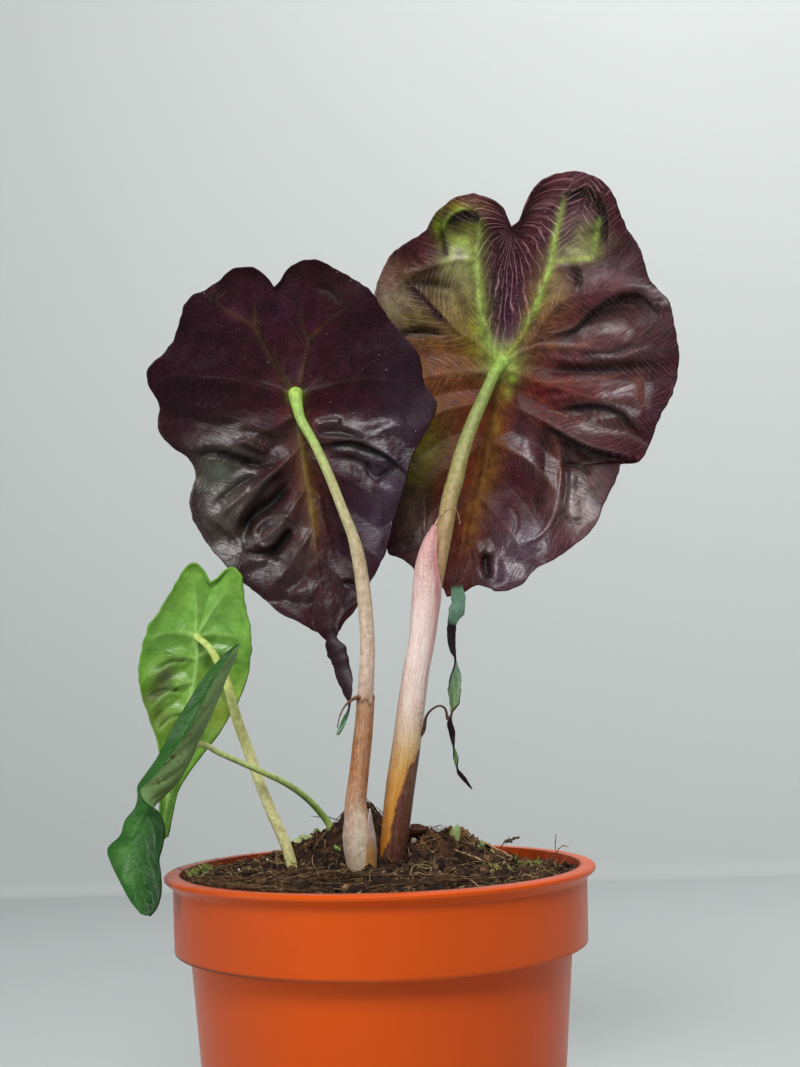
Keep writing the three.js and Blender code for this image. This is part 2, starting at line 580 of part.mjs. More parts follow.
function latheSolid(profile, segments) {
  const geometry = new THREE.LatheGeometry(profile.map(([r, z]) => new THREE.Vector2(r, z)), segments);
  geometry.rotateX(Math.PI / 2);
  return solidOf(geometry);
}

function potRadiusInside(z) {
  const share = z / pot.collarBottom;
  return pot.baseRadius + (pot.bodyTopRadius - pot.baseRadius) * share - pot.wall;
}

function potSolid() {
  const { height, lipRadius, lipDepth, collarRadius, collarBottomRadius, collarBottom } = pot;
  const { bodyTopRadius, baseRadius, baseRound, wall, floor } = pot;
  const round = 0.4;
  const profile = [
    [0, 0],
    [baseRadius - baseRound, 0],
    [baseRadius - baseRound * 0.3, baseRound * 0.3],
    [baseRadius + 0.1, baseRound],
    [bodyTopRadius - 0.1, collarBottom - 1],
    [bodyTopRadius + 0.4, collarBottom],
    [collarBottomRadius - round, collarBottom],
    [collarBottomRadius, collarBottom + round],
    [collarRadius, height - lipDepth - round],
    [lipRadius - round, height - lipDepth],
    [lipRadius, height - lipDepth + round],
    [lipRadius, height - round],
    [lipRadius - round, height],
    [collarRadius - wall + round, height],
    [collarRadius - wall, height - round],
    [collarBottomRadius - wall, collarBottom + wall + round],
    [collarBottomRadius - wall - round, collarBottom + wall],
    [bodyTopRadius - wall, collarBottom - 0.6],
    [potRadiusInside(floor + 1), floor + 1],
    [potRadiusInside(floor) - 1, floor],
    [0, floor],
  ];
  let body = latheSolid(profile, pot.segments);
  for (let hole = 0; hole < pot.drainHoles; hole += 1) {
    const angle = ((hole + 0.5) / pot.drainHoles) * 2 * Math.PI;
    const drill = new THREE.CylinderGeometry(pot.drainRadius, pot.drainRadius, floor * 4, 20);
    drill.rotateX(Math.PI / 2);
    drill.translate(Math.cos(angle) * pot.drainCircle, Math.sin(angle) * pot.drainCircle, floor / 2);
    body = body.subtract(solidOf(drill));
  }
  return body;
}

function soilHeight(x, y) {
  let height = soil.level;
  for (const heap of soil.heaps) {
    const away = (x - heap.x) ** 2 / (2 * heap.spreadX ** 2) + (y - heap.y) ** 2 / (2 * heap.spreadY ** 2);
    height += heap.height * Math.exp(-away);
  }
  const { hollow } = soil;
  height -= hollow.depth * Math.exp(-((x - hollow.x) ** 2 + (y - hollow.y) ** 2) / (2 * hollow.spread ** 2));
  height += soil.lump * Math.sin(x * 0.9 + 1) * Math.cos(y * 0.8 - x * 0.3);
  return height;
}

// A heaped plug that follows the inside of the pot.
function soilSolid() {
  const topRadius = pot.collarRadius - pot.wall - gap - 0.1;
  const collarLow = pot.collarBottom + pot.wall + 0.4;
  const levels = [
    [potRadiusInside(pot.floor) - 1 - gap, pot.floor + gap],
    [potRadiusInside(pot.floor + 1) - gap, pot.floor + 1 + gap],
    [pot.bodyTopRadius - pot.wall - gap, pot.collarBottom - 0.6],
    [pot.bodyTopRadius - pot.wall - gap, pot.collarBottom + 1.2],
    [pot.collarBottomRadius - pot.wall - gap - 0.4, collarLow + gap],
  ];
  const ringAt = (radius, level) => {
    const ring = [];
    for (let i = 0; i < soil.segments; i += 1) {
      const angle = (i / soil.segments) * 2 * Math.PI;
      const x = Math.cos(angle) * radius;
      const y = Math.sin(angle) * radius;
      ring.push(new THREE.Vector3(x, y, level === null ? soilHeight(x, y) : level));
    }
    return ring;
  };
  const rings = levels.map(([radius, level]) => ringAt(radius, level));
  for (let ring = soil.rings; ring > 0; ring -= 1) {
    rings.push(ringAt((topRadius * ring) / soil.rings, null));
  }
  return solidFrom(loftGeometry(rings));
}

function ballSolid({ x, y, z, radius, halfHeight }, extra = 0) {
  const ball = new THREE.SphereGeometry(1, 24, 14);
  ball.rotateX(Math.PI / 2);
  ball.scale(radius + extra, radius + extra, halfHeight + extra);
  ball.translate(x, y, z);
  return solidOf(ball);
}

// A short cut shoot that leans a little, rounded over at its top.
function shootSolid(extra = 0) {
  const { x, y, bottom, top, radius, leanX } = shoot;
  const tall = top - bottom;
  const rings = [0, 0.5, 0.85, 0.96, 1].map((share, row) => {
    const around = (radius + extra) * [1, 1, 0.9, 0.7, 0.4][row];
    const ring = [];
    for (let i = 0; i < 12; i += 1) {
      const angle = (i / 12) * 2 * Math.PI;
      ring.push(new THREE.Vector3(
        x + leanX * share + Math.cos(angle) * around,
        y + Math.sin(angle) * around,
        bottom - extra + (tall + extra * 2) * share,
      ));
    }
    return ring;
  });
  return solidFrom(loftGeometry(rings));
}

// A split flake of bark, lying tilted on the soil.
function chipSolid(extra = 0) {
  const outline = [[-0.5, -0.35], [-0.15, -0.5], [0.35, -0.42], [0.5, 0.05], [0.2, 0.45], [-0.3, 0.5]];
  const rings = [-0.5, 0.5].map((side) => outline.map(([u, v], i) => new THREE.Vector3(
    u * (chip.length + extra * 2),
    v * (chip.width + extra * 2),
    side * (chip.thickness + extra * 2) * (i % 2 ? 1 : 0.75),
  )));
  const geometry = loftGeometry(rings);
  geometry.rotateX(THREE.MathUtils.degToRad(chip.lean));
  geometry.rotateZ(THREE.MathUtils.degToRad(chip.turn));
  geometry.translate(chip.x, chip.y, chip.z);
  return solidFrom(geometry);
}

const stemSides = 10;
const threadSides = 6;
const bladeBehind = 12;

const cormRoom = ballSolid(corm, gap);
const leftStem = (extra) => stemSolid(petioleLeft, stemSides, 1, extra);
const rightStem = (extra) => stemSolid(petioleRight, stemSides, 1, extra);
const lightStem = (extra) => stemSolid(petioleSmallLight, 8, 1, extra);
const darkStem = (extra) => stemSolid(petioleSmallDark, 8, 1, extra);
const sheathBody = (extra) => stemSolid(sheath, 14, 1, extra);

// Each stem stops short of its blade and of the corm.
const petioleLeftSolid = leftStem(0)
  .add(stemSolid(petioleLeftThread, threadSides, 2))
  .subtract(leafSolid(leafLeft, gap, bladeBehind))
  .subtract(cormRoom);
const petioleRightSolid = rightStem(0)
  .subtract(leafSolid(leafRight, gap, bladeBehind))
  .subtract(cormRoom);
const petioleSmallLightSolid = lightStem(0)
  .subtract(leafSolid(leafSmallLight, gap, bladeBehind))
  .subtract(cormRoom);
const petioleSmallDarkSolid = darkStem(0)
  .subtract(foldedLeafSolid(leafSmallDark, gap))
  .subtract(cormRoom);
const sheathSolid = sheathBody(0)
  .subtract(stemSolid(sheathHollow, stemSides, 1))
  .add(stemSolid(sheathTipThread, threadSides, 2))
  .add(stemSolid(sheathLowThread, threadSides, 2))
  .subtract(rightStem(gap))
  .subtract(cormRoom);

// The soil keeps a plain hole for each piece that stands in it.
const rooms = [
  cormRoom, leftStem(gap), rightStem(gap), lightStem(gap),
  darkStem(gap), sheathBody(gap), shootSolid(gap), chipSolid(gap),
];
const filledSoil = rooms.reduce((body, room) => body.subtract(room), soilSolid());

const bladeLeftSolid = leafSolid(leafLeft, 0, blade.thickness).add(ribbonSolid(tailLeft, 2));
const bladeRightSolid = leafSolid(leafRight, 0, blade.thickness).add(ribbonSolid(tailRight, 2));

const plant = new THREE.Group();
plant.add(
  meshFrom(potSolid(), 'pot', materials.pot),
  meshFrom(filledSoil, 'soil', materials.soil),
  meshFrom(ballSolid(corm), 'rhizome', materials.corm),
  meshFrom(petioleLeftSolid, 'petiole_left', materials.petioleLeft),
  meshFrom(bladeLeftSolid, 'blade_left', materials.bladeDark),
  meshFrom(petioleRightSolid, 'petiole_right', materials.petioleRight),
  meshFrom(sheathSolid, 'sheath_right', materials.sheath),
  meshFrom(bladeRightSolid, 'blade_right', materials.bladeRight),
  meshFrom(petioleSmallLightSolid, 'petiole_small_light', materials.stemGreen),
  meshFrom(leafSolid(leafSmallLight, 0, blade.thickness), 'blade_small_light', materials.bladeLight),
  meshFrom(petioleSmallDarkSolid, 'petiole_small_dark', materials.stemGreen),
  meshFrom(foldedLeafSolid(leafSmallDark), 'blade_small_dark', materials.bladeGreen),
  meshFrom(shootSolid(), 'shoot_stub', materials.shoot),
  meshFrom(chipSolid(), 'bark_chip', materials.bark),
);

export default plant;
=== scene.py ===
import math
import random
from contextlib import contextmanager

import bpy
import numpy as np
from mathutils import Euler, Matrix, Vector, noise


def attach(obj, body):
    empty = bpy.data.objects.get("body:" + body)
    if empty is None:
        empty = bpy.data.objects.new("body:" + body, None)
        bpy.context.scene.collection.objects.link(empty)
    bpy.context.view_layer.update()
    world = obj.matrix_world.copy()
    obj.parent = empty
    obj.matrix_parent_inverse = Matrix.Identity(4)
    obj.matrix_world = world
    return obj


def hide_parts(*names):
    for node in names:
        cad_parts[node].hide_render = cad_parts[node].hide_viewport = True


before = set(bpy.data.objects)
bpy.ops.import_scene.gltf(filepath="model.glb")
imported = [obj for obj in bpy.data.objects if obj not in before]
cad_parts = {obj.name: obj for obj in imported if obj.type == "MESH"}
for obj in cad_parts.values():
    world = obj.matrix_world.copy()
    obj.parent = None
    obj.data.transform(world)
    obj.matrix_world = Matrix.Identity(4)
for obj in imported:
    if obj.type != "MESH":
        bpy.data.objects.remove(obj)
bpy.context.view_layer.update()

# Lengths in the dictionaries are millimetres, and mm turns them into metres.
mm = 0.001
fullTurn = 2 * math.pi


# A colour written as in a paint program, as the linear numbers that shaders use
def tone(code):
    parts = [int(code[i:i + 2], 16) / 255 for i in (0, 2, 4)]
    return np.array([p / 12.92 if p <= 0.04045 else ((p + 0.055) / 1.055) ** 2.4 for p in parts])


# Camera

cameraSet = {
    "place": (-0.8, -262, 109.5),
    "lens": 40.49,
    "pitch": 9,
    "yaw": 1.5,
    "roll": -1.56,
}


def addCamera():
    bpy.ops.object.camera_add(location=[n * mm for n in cameraSet["place"]])
    camera = bpy.context.object
    camera.name = "photoCamera"
    level = Euler((math.radians(90 + cameraSet["pitch"]), 0, math.radians(-cameraSet["yaw"])))
    roll = Matrix.Rotation(math.radians(cameraSet["roll"]), 3, "Z")
    camera.rotation_euler = (level.to_matrix() @ roll).to_euler()
    camera.data.lens = cameraSet["lens"]
    camera.data.clip_start = 0.01
    camera.data.clip_end = 20
    bpy.context.scene.camera = camera


# Lights: a tall window on the left, a strong soft one high in front and a wide one above

lightSet = {
    "leftWindow": {"place": (-880, -380, 300), "aim": (0, 0, 130), "size": (420, 560), "power": 3.2},
    "highSoft": {"place": (-60, -700, 850), "aim": (0, 0, 150), "size": (460, 340), "power": 9.0},
    "ceiling": {"place": (420, 160, 1050), "aim": (120, 200, 120), "size": (900, 900), "power": 5.2},
}
worldSet = {"tone": "d8dad8", "strength": 0.15}


def addLights():
    for name, lamp in lightSet.items():
        place = Vector(lamp["place"]) * mm
        bpy.ops.object.light_add(type="AREA", location=place)
        light = bpy.context.object
        light.name = name
        light.data.shape = "RECTANGLE"
        light.data.size, light.data.size_y = (n * mm for n in lamp["size"])
        light.data.energy = lamp["power"]
        aim = Vector(lamp["aim"]) * mm - place
        light.rotation_euler = aim.to_track_quat("-Z", "Y").to_euler()
    world = bpy.data.worlds.new("room")
    world.use_nodes = True
    sky = world.node_tree.nodes["Background"]
    sky.inputs["Color"].default_value = (*tone(worldSet["tone"]), 1)
    sky.inputs["Strength"].default_value = worldSet["strength"]
    bpy.context.scene.world = world
    bpy.context.scene.view_settings.view_transform = "Standard"


# Shader nodes

class Paint:
    def __init__(self, name):
        self.material = bpy.data.materials.new(name)
        self.material.use_nodes = True
        self.tree = self.material.node_tree
        self.tree.nodes.clear()
        output = self.node("ShaderNodeOutputMaterial")
        self.shader = self.node("ShaderNodeBsdfPrincipled")
        self.tree.links.new(self.shader.outputs["BSDF"], output.inputs["Surface"])

    def feed(self, socket, value):
        if isinstance(value, bpy.types.NodeSocket):
            self.tree.links.new(value, socket)
        elif isinstance(value, str):
            socket.default_value = (*tone(value), 1)
        else:
            socket.default_value = value

    # numbered sockets are fed in their order, and the others by name
    def node(self, kind, settings=None, numbered=(), **inputs):
        made = self.tree.nodes.new(kind)
        for key, value in (settings or {}).items():
            setattr(made, key, value)
        for spot, value in [*enumerate(numbered), *inputs.items()]:
            self.feed(made.inputs[spot], value)
        return made

    def set(self, **sockets):
        for key, value in sockets.items():
            self.feed(self.shader.inputs[key.replace("_", " ")], value)

    # a value kept on the mesh
    def kept(self, name, output="Fac"):
        return self.node("ShaderNodeAttribute", {"attribute_name": name}).outputs[output]

    def spot(self, scale=(1, 1, 1)):
        place = self.node("ShaderNodeTexCoord").outputs["Object"]
        return self.node("ShaderNodeMapping", Vector=place, Scale=scale).outputs["Vector"]

    def axes(self):
        return self.node("ShaderNodeSeparateXYZ", Vector=self.spot()).outputs[:]

    # a place in a pattern that flows with the piece
    def flow(self, across, along, shift=0.0):
        x, y = self.times(self.kept("flowAcross"), across), self.times(self.kept("flowAlong"), along)
        return self.node("ShaderNodeCombineXYZ", None, (x, y, shift)).outputs[0]

    def noise(self, scale, detail=3.0, rough=0.5, at=None):
        place = self.spot() if at is None else at
        made = self.node("ShaderNodeTexNoise", Vector=place, Scale=scale, Detail=detail, Roughness=rough)
        return made.outputs[0]

    # noise drawn out along the flow
    def streaks(self, across, along, shift=0.0, detail=3.0, rough=0.5):
        return self.noise(1.0, detail, rough, self.flow(across, along, shift))

    def maths(self, operation, first, second=0.0, clamp=False):
        settings = {"operation": operation, "use_clamp": clamp}
        return self.node("ShaderNodeMath", settings, (first, second)).outputs[0]

    def times(self, first, second):
        return self.maths("MULTIPLY", first, second)

    def plus(self, first, second, clamp=False):
        return self.maths("ADD", first, second, clamp)

    def span(self, value, low, high, toLow=0.0, toHigh=1.0):
        return self.node("ShaderNodeMapRange", None, (value, low, high, toLow, toHigh)).outputs[0]

    def mix(self, factor, first, second, blend="MIX"):
        made = self.node("ShaderNodeMix", {"data_type": "RGBA", "blend_type": blend}, Factor=factor)
        self.feed(made.inputs[6], first)
        self.feed(made.inputs[7], second)
        return made.outputs[2]

    # one colour laid over another where a mask is full, at a share of it
    def lay(self, under, over, mask, share):
        return self.mix(self.times(mask, share), under, over)

    def ramp(self, factor, stops):
        made = self.node("ShaderNodeValToRGB", None, (factor,))
        points = made.color_ramp.elements
        while len(points) < len(stops):
            points.new(0.5)
        for point, (place, code) in zip(points, stops):
            point.position = place
            point.color = (*tone(code), 1)
        return made.outputs["Color"]

    def bump(self, height, strength, distance):
        made = self.node("ShaderNodeBump", Strength=strength, Distance=distance * mm, Height=height)
        self.set(Normal=made.outputs["Normal"], Coat_Normal=made.outputs["Normal"])

    # long thin lines that run along the flow, wander a little and fade in and out
    def running(self, spacing, width):
        count = self.maths("DIVIDE", self.kept("flowAcross"), spacing)
        phase = self.plus(count, self.times(self.streaks(0.3, 0.14, detail=2.0), 4.0))
        line = self.span(self.maths("PINGPONG", phase, 1.0), 0.0, width, 1.0, 0.0)
        return self.times(line, self.span(self.streaks(1.1, 0.16, 4.0, 2.0), 0.38, 0.56))

    # thin lines where a noise along the flow passes its middle value
    def lines(self, across, along, shift, width):
        away = self.maths("SUBTRACT", self.streaks(across, along, shift, 2.0), 0.5)
        return self.span(self.maths("ABSOLUTE", away), 0.0, width, 1.0, 0.0)


# Mesh helpers

def readPlaces(piece):
    places = np.empty(len(piece.data.vertices) * 3, np.float32)
    piece.data.vertices.foreach_get("co", places)
    return places.reshape(-1, 3).astype(float)


def setPlaces(piece, places):
    piece.data.vertices.foreach_set("co", (np.asarray(places) * mm).astype(np.float32).ravel())
    piece.data.update()


def onlySelect(piece):
    bpy.ops.object.select_all(action="DESELECT")
    piece.select_set(True)
    bpy.context.view_layer.objects.active = piece


@contextmanager
def editing(piece, pick="SELECT"):
    onlySelect(piece)
    bpy.ops.object.mode_set(mode="EDIT")
    bpy.ops.mesh.select_all(action=pick)
    yield
    bpy.ops.object.mode_set(mode="OBJECT")


# Merges double points, closes open ends and turns the faces out, as asked
def mend(piece, merge=None, fill=False, outward=False):
    with editing(piece):
        if merge:
            bpy.ops.mesh.remove_doubles(threshold=merge * mm)
            bpy.ops.mesh.select_all(action="SELECT")
        if fill:
            bpy.ops.mesh.fill_holes(sides=0)
            bpy.ops.mesh.select_all(action="SELECT")
        if outward:
            bpy.ops.mesh.normals_make_consistent(inside=False)


def modify(piece, kind, **settings):
    modifier = piece.modifiers.new(kind, kind)
    for key, value in settings.items():
        setattr(modifier, key, value)
    onlySelect(piece)
    bpy.ops.object.modifier_apply(modifier=modifier.name)


def newPiece(name, points, edges, faces):
    mesh = bpy.data.meshes.new(name)
    mesh.from_pydata((np.asarray(points, float) * mm).tolist(), edges, faces)
    piece = bpy.data.objects.new(name, mesh)
    bpy.context.scene.collection.objects.link(piece)
    return piece


# A flat grid with its shares across and along, ready to be shaped
def newGrid(name, across, along):
    bpy.ops.object.select_all(action="DESELECT")
    bpy.ops.mesh.primitive_grid_add(x_subdivisions=across, y_subdivisions=along, size=1)
    piece = bpy.context.object
    piece.name = name
    piece.data.name = name
    places = readPlaces(piece)
    return piece, places[:, 0] + 0.5, places[:, 1] + 0.5


# Numbers and colours kept on the points, for the materials to read
def keepValues(piece, **layers):
    for name, values in layers.items():
        values = np.asarray(values, np.float32)
        if values.ndim == 2:
            layer = piece.data.attributes.new(name, "FLOAT_COLOR", "POINT")
            colours = np.ones((len(values), 4), np.float32)
            colours[:, :3] = values
            layer.data.foreach_set("color", colours.ravel())
        else:
            layer = piece.data.attributes.new(name, "FLOAT", "POINT")
            layer.data.foreach_set("value", values.ravel())


def finishPiece(piece, materials, stands=()):
    for material in materials:
        piece.data.materials.append(material)
    piece.data.shade_smooth()
    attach(piece, "root")
    if stands:
        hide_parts(*stands)


# Gives a sheet its thickness behind its face, with its last material on the back
def finishSheet(piece, thickness, materials, stands=()):
    for material in materials:
        piece.data.materials.append(material)
    modify(piece, "SOLIDIFY", thickness=thickness * mm, offset=-1,
           material_offset=len(materials) - 1, material_offset_rim=0)
    finishPiece(piece, [], stands)


# One mesh from many small bodies, each as (points, faces, shade)
def joinBodies(name, bodies, material):
    faces = []
    count = 0
    for body, sides, _ in bodies:
        faces.extend(tuple(corner + count for corner in side) for side in sides)
        count += len(body)
    piece = newPiece(name, np.vstack([body for body, _, _ in bodies]), [], faces)
    keepValues(piece, shade=np.concatenate([np.full(len(body), shade) for body, _, shade in bodies]))
    finishPiece(piece, [material])
    return piece


# Points and faces of a ball, to be shaped into lumps
def ballShape(fineness):
    bpy.ops.object.select_all(action="DESELECT")
    bpy.ops.mesh.primitive_ico_sphere_add(subdivisions=fineness, radius=1)
    ball = bpy.context.object
    points = readPlaces(ball)
    faces = [tuple(face.vertices) for face in ball.data.polygons]
    bpy.data.objects.remove(ball)
    return points, faces


def lengthRun(track):
    return np.concatenate([[0], np.cumsum(np.linalg.norm(np.diff(track, axis=0), axis=1))])


# Points on a smooth curve through given stations. Even shares go by its length.
def smoothLine(stations, shares, even=False):
    isFlat = len(stations[0]) < 3
    places = np.array([(*station[:2], 0.0 if isFlat else station[2]) for station in stations], float)
    padded = np.vstack([2 * places[0] - places[1], places, 2 * places[-1] - places[-2]])
    shares = np.asarray(shares, float)
    if even:
        fine = np.linspace(0, 1, 1601)
        run = lengthRun(smoothLine(stations, fine))
        shares = np.interp(shares * run[-1], run, fine)
    spot = shares * (len(places) - 1)
    span = np.clip(spot.astype(int), 0, len(places) - 2)
    share = (spot - span)[:, None]
    p0, p1, p2, p3 = (padded[span + i] for i in range(4))
    pairs = (p0, p1), (p1, p2), (p2, p3)
    gap0, gap1, gap2 = (np.sqrt(np.linalg.norm(b - a, axis=1))[:, None] for a, b in pairs)
    gap1 = np.where(gap1 < 1e-4, 1.0, gap1)
    gap0 = np.where(gap0 < 1e-4, gap1, gap0)
    gap2 = np.where(gap2 < 1e-4, gap1, gap2)
    start = ((p1 - p0) / gap0 - (p2 - p0) / (gap0 + gap1) + (p2 - p1) / gap1) * gap1
    end = ((p2 - p1) / gap1 - (p3 - p1) / (gap1 + gap2) + (p3 - p2) / gap2) * gap1
    square = -3 * p1 + 3 * p2 - 2 * start - end
    cube = 2 * p1 - 2 * p2 + start + end
    return p1 + start * share + square * share ** 2 + cube * share ** 3


# Station values such as radius, in between the stations
def alongStations(stations, field, shares):
    values = [station[field] for station in stations]
    return np.interp(np.asarray(shares) * (len(values) - 1), np.arange(len(values)), values)


# Directions along, across and through a curve, carried without twist from +X
def carriedFrames(track):
    tangents = np.gradient(track, axis=0)
    tangents /= np.linalg.norm(tangents, axis=1)[:, None]
    across = np.empty_like(tangents)
    carried = np.array([1.0, 0.0, 0.0])
    for i, tangent in enumerate(tangents):
        carried = carried - tangent * (carried @ tangent)
        carried = carried / np.linalg.norm(carried)
        across[i] = carried
    return tangents, across, np.cross(tangents, across)


# The rows of a grid as shares along a line, and the number of each point's row
def gridRows(alongShare):
    shares = np.round(alongShare, 9)
    order = np.unique(shares)
    return order, np.searchsorted(order, shares)


# A grid wrapped round a line: its centres, height, length run, and a function that gives the places
def wrapRound(stations, alongShare):
    order, row = gridRows(alongShare)
    track = smoothLine(stations, order)
    _, across, through = carriedFrames(track)

    def places(turn, radius):
        ring = across[row] * np.cos(turn)[:, None] + through[row] * np.sin(turn)[:, None]
        return track[row] + ring * radius[:, None]

    fields = [alongStations(stations, field, order)[row] for field in range(3, len(stations[0]))]
    return places, track[row][:, 2], lengthRun(track)[row], fields


# A thin round strand as points and faces, for threads, roots and fibres
def strandBody(track, radii, sides=3):
    track = np.asarray(track, float)
    _, across, through = carriedFrames(track)
    turns = (np.arange(sides) / sides * fullTurn)[None, :, None]
    ring = np.cos(turns) * across[:, None, :] + np.sin(turns) * through[:, None, :]
    points = (track[:, None, :] + ring * np.asarray(radii)[:, None, None]).reshape(-1, 3)
    faces = [tuple(range(sides))[::-1]]
    last = (len(track) - 1) * sides
    for row in range(0, last, sides):
        for i in range(sides):
            j = (i + 1) % sides
            faces.append((row + i, row + j, row + sides + j, row + sides + i))
    faces.append(tuple(range(last, last + sides)))
    return points, faces


# Radii that thin out at both ends: shares of the length, and shares of the radius there
def tapered(radius, count, places, shares):
    return radius * np.interp(np.linspace(0, 1, count), places, shares)


def smoothStep(value, low, high):
    share = np.clip((value - low) / (high - low), 0, 1)
    return share * share * (3 - 2 * share)


def bell(away, width):
    return np.exp(-((away / width) ** 2))


# Noise over three values, layered where a roughness, a step and a number of layers are given
def noiseOver(x, y, z, layers=None):
    places = np.stack(np.broadcast_arrays(x, y, z), axis=1)
    if layers:
        return np.array([noise.fractal(Vector(place), *layers) for place in places])
    return np.array([noise.noise(Vector(place)) for place in places])


# A slow sideways sway for each point of a strand
def swayAlong(count, step, seed):
    return np.stack([noiseOver(np.arange(count) * step, k * 5.0, seed) for k in range(3)], axis=1)


# A skin drawn towards a colour, by a share for each point
def tint(skin, code, share):
    return skin + (tone(code) - skin) * share[:, None]


def dabWeight(x, y, dabX, dabY, spreadX, spreadY, turn):
    angle = math.radians(turn)
    u = ((x - dabX) * math.cos(angle) + (y - dabY) * math.sin(angle)) / spreadX
    v = (-(x - dabX) * math.sin(angle) + (y - dabY) * math.cos(angle)) / spreadY
    return np.exp(-0.5 * (u * u + v * v))


# Soft dabs of colour laid over a painted skin, each as (x, y, spread x, spread y, turn, colour, share)
def dabColours(skin, x, y, dabs):
    for *dab, code, share in dabs:
        skin = tint(skin, code, share * dabWeight(x, y, *dab))
    return skin


# Colours between stops, each as (place, colour)
def stopColours(value, stops):
    places = [place for place, code in stops]
    colours = np.array([tone(code) for place, code in stops])
    return np.stack([np.interp(value, places, colours[:, i]) for i in range(3)], axis=1)


# The floor and the wall behind it

stageSet = {
    "wall": 587, "width": 5000, "height": 2400, "cove": 12, "dimTone": "b8bdbc", "brightTone": "dde1e0",
    "dimSide": -200, "brightSide": 900, "floorDim": 0.24,
}


def addStage():
    paint = Paint("paleRoom")
    across, _, up = paint.axes()
    # painted light: the room is painted lighter towards the right and the top, and its floor is painted
    # darker
    light = paint.span(paint.plus(across, up), stageSet["dimSide"] * mm, stageSet["brightSide"] * mm)
    light = paint.plus(light, paint.times(paint.noise(3.0), 0.12))
    floor = paint.span(up, 0.004, 0.012, stageSet["floorDim"], 0.0)
    light = paint.maths("SUBTRACT", light, floor, clamp=True)
    paint.set(Base_Color=paint.mix(light, stageSet["dimTone"], stageSet["brightTone"]), Roughness=0.8)
    width = stageSet["width"]
    bpy.ops.object.select_all(action="DESELECT")
    bpy.ops.mesh.primitive_plane_add(size=width * mm, location=(0, (stageSet["wall"] - width / 2) * mm, 0))
    room = bpy.context.object
    room.name = "room"
    bpy.ops.object.transform_apply()
    with editing(room, "DESELECT"):
        bpy.ops.mesh.select_mode(type="EDGE")
    for edge in room.data.edges:
        edge.select = all(room.data.vertices[corner].co.y > 0 for corner in edge.vertices)
    bpy.ops.object.mode_set(mode="EDIT")
    bpy.ops.mesh.extrude_region_move(TRANSFORM_OT_translate={"value": (0, 0, stageSet["height"] * mm)})
    bpy.ops.object.mode_set(mode="OBJECT")
    modify(room, "BEVEL", width=stageSet["cove"] * mm, segments=8)
    room.data.materials.append(paint.material)
    room.data.shade_smooth()


# The nursery pot

potSet = {
    "height": 80, "lipRadius": 45, "lipDepth": 1.5, "collarRadius": 43.2, "collarBottomRadius": 42.8,
    "collarBottom": 64.9, "bodyTopRadius": 39.7, "baseRadius": 33.3, "baseRound": 1.4, "wall": 1.3,
    "floor": 1.5,
    "segments": 144, "drainHoles": 6, "drainRadius": 3.5, "drainCircle": 22, "edgeRound": 0.45,
    "tone": "d65204", "deepTone": "c84802", "dirtAndShadowTone": "4a2c1c", "leftShadeTone": "8a3c1c",
    "markTone": "e08a55", "innerShadeAndDustTone": "7a2e12",
}


def potMaterial():
    paint = Paint("mouldedOrange")
    across, _, up = paint.axes()
    edge, collar = potSet["collarBottom"], potSet["collarRadius"]

    def band(axis, low, high, *ends):
        return paint.span(axis, low * mm, high * mm, *ends)

    colour = paint.mix(paint.noise(30.0), potSet["deepTone"], potSet["tone"])
    # faint upright flow marks on the right, strongest just above the collar's lower edge
    marks = paint.span(paint.noise(260.0, 2.0, 0.6, paint.spot((1, 1, 0.06))), 0.55, 0.75)
    low = paint.times(band(up, edge + 0.6, edge + 6.1, 1.0, 0.05), band(up, edge - 0.4, edge + 0.6))
    streak = paint.times(paint.times(marks, low), band(across, 8, 20))
    colour = paint.lay(colour, potSet["markTone"], streak, 0.22)
    # painted shade: the left side is painted darker
    colour = paint.mix(band(across, -44, -12, 0.5, 0.0), colour, potSet["leftShadeTone"])
    # painted shadow in the groove under the collar, most of it on the left
    grooveShadow = paint.times(band(up, edge - 0.7, edge - 0.2), band(up, edge + 0.2, edge + 0.7, 1.0, 0.0))
    colour = paint.lay(colour, potSet["dirtAndShadowTone"], grooveShadow, band(across, -25, 15, 0.8, 0.3))
    # painted shade: the inside of the rim is painted darker, in dusty patches
    radius = paint.node("ShaderNodeVectorMath", {"operation": "LENGTH"}, Vector=paint.spot((1, 1, 0)))
    inside = paint.times(band(radius.outputs["Value"], collar - 1.1, collar - 0.6, 1.0, 0.0),
                         band(up, edge + 0.6, edge + 2.1))
    shadeAndDust = paint.span(paint.noise(500.0, 4.0, 0.6), 0.3, 0.6, 0.35, 0.85)
    colour = paint.lay(colour, potSet["innerShadeAndDustTone"], inside, shadeAndDust)
    # potting dust, mostly under the lip on the left
    smear = paint.span(paint.noise(120.0, 5.0, 0.65, paint.spot((1, 1, 0.35))), 0.58, 0.72)
    near = band(up, edge + 1.1, potSet["height"] - 0.5)
    dirt = paint.times(paint.times(smear, near), band(across, -44, -18, 1.0, 0.1))
    colour = paint.lay(colour, potSet["dirtAndShadowTone"], dirt, 0.75)
    rough = paint.span(paint.noise(90.0, 4.0), 0.3, 0.7, 0.3, 0.38)
    rough = paint.plus(rough, paint.times(dirt, 0.35))
    paint.set(Base_Color=colour, Roughness=rough, Specular_IOR_Level=0.21)
    paint.bump(paint.plus(paint.noise(2600.0, 2.0), paint.times(streak, 2.0)), 0.12, 0.05)
    return paint.material


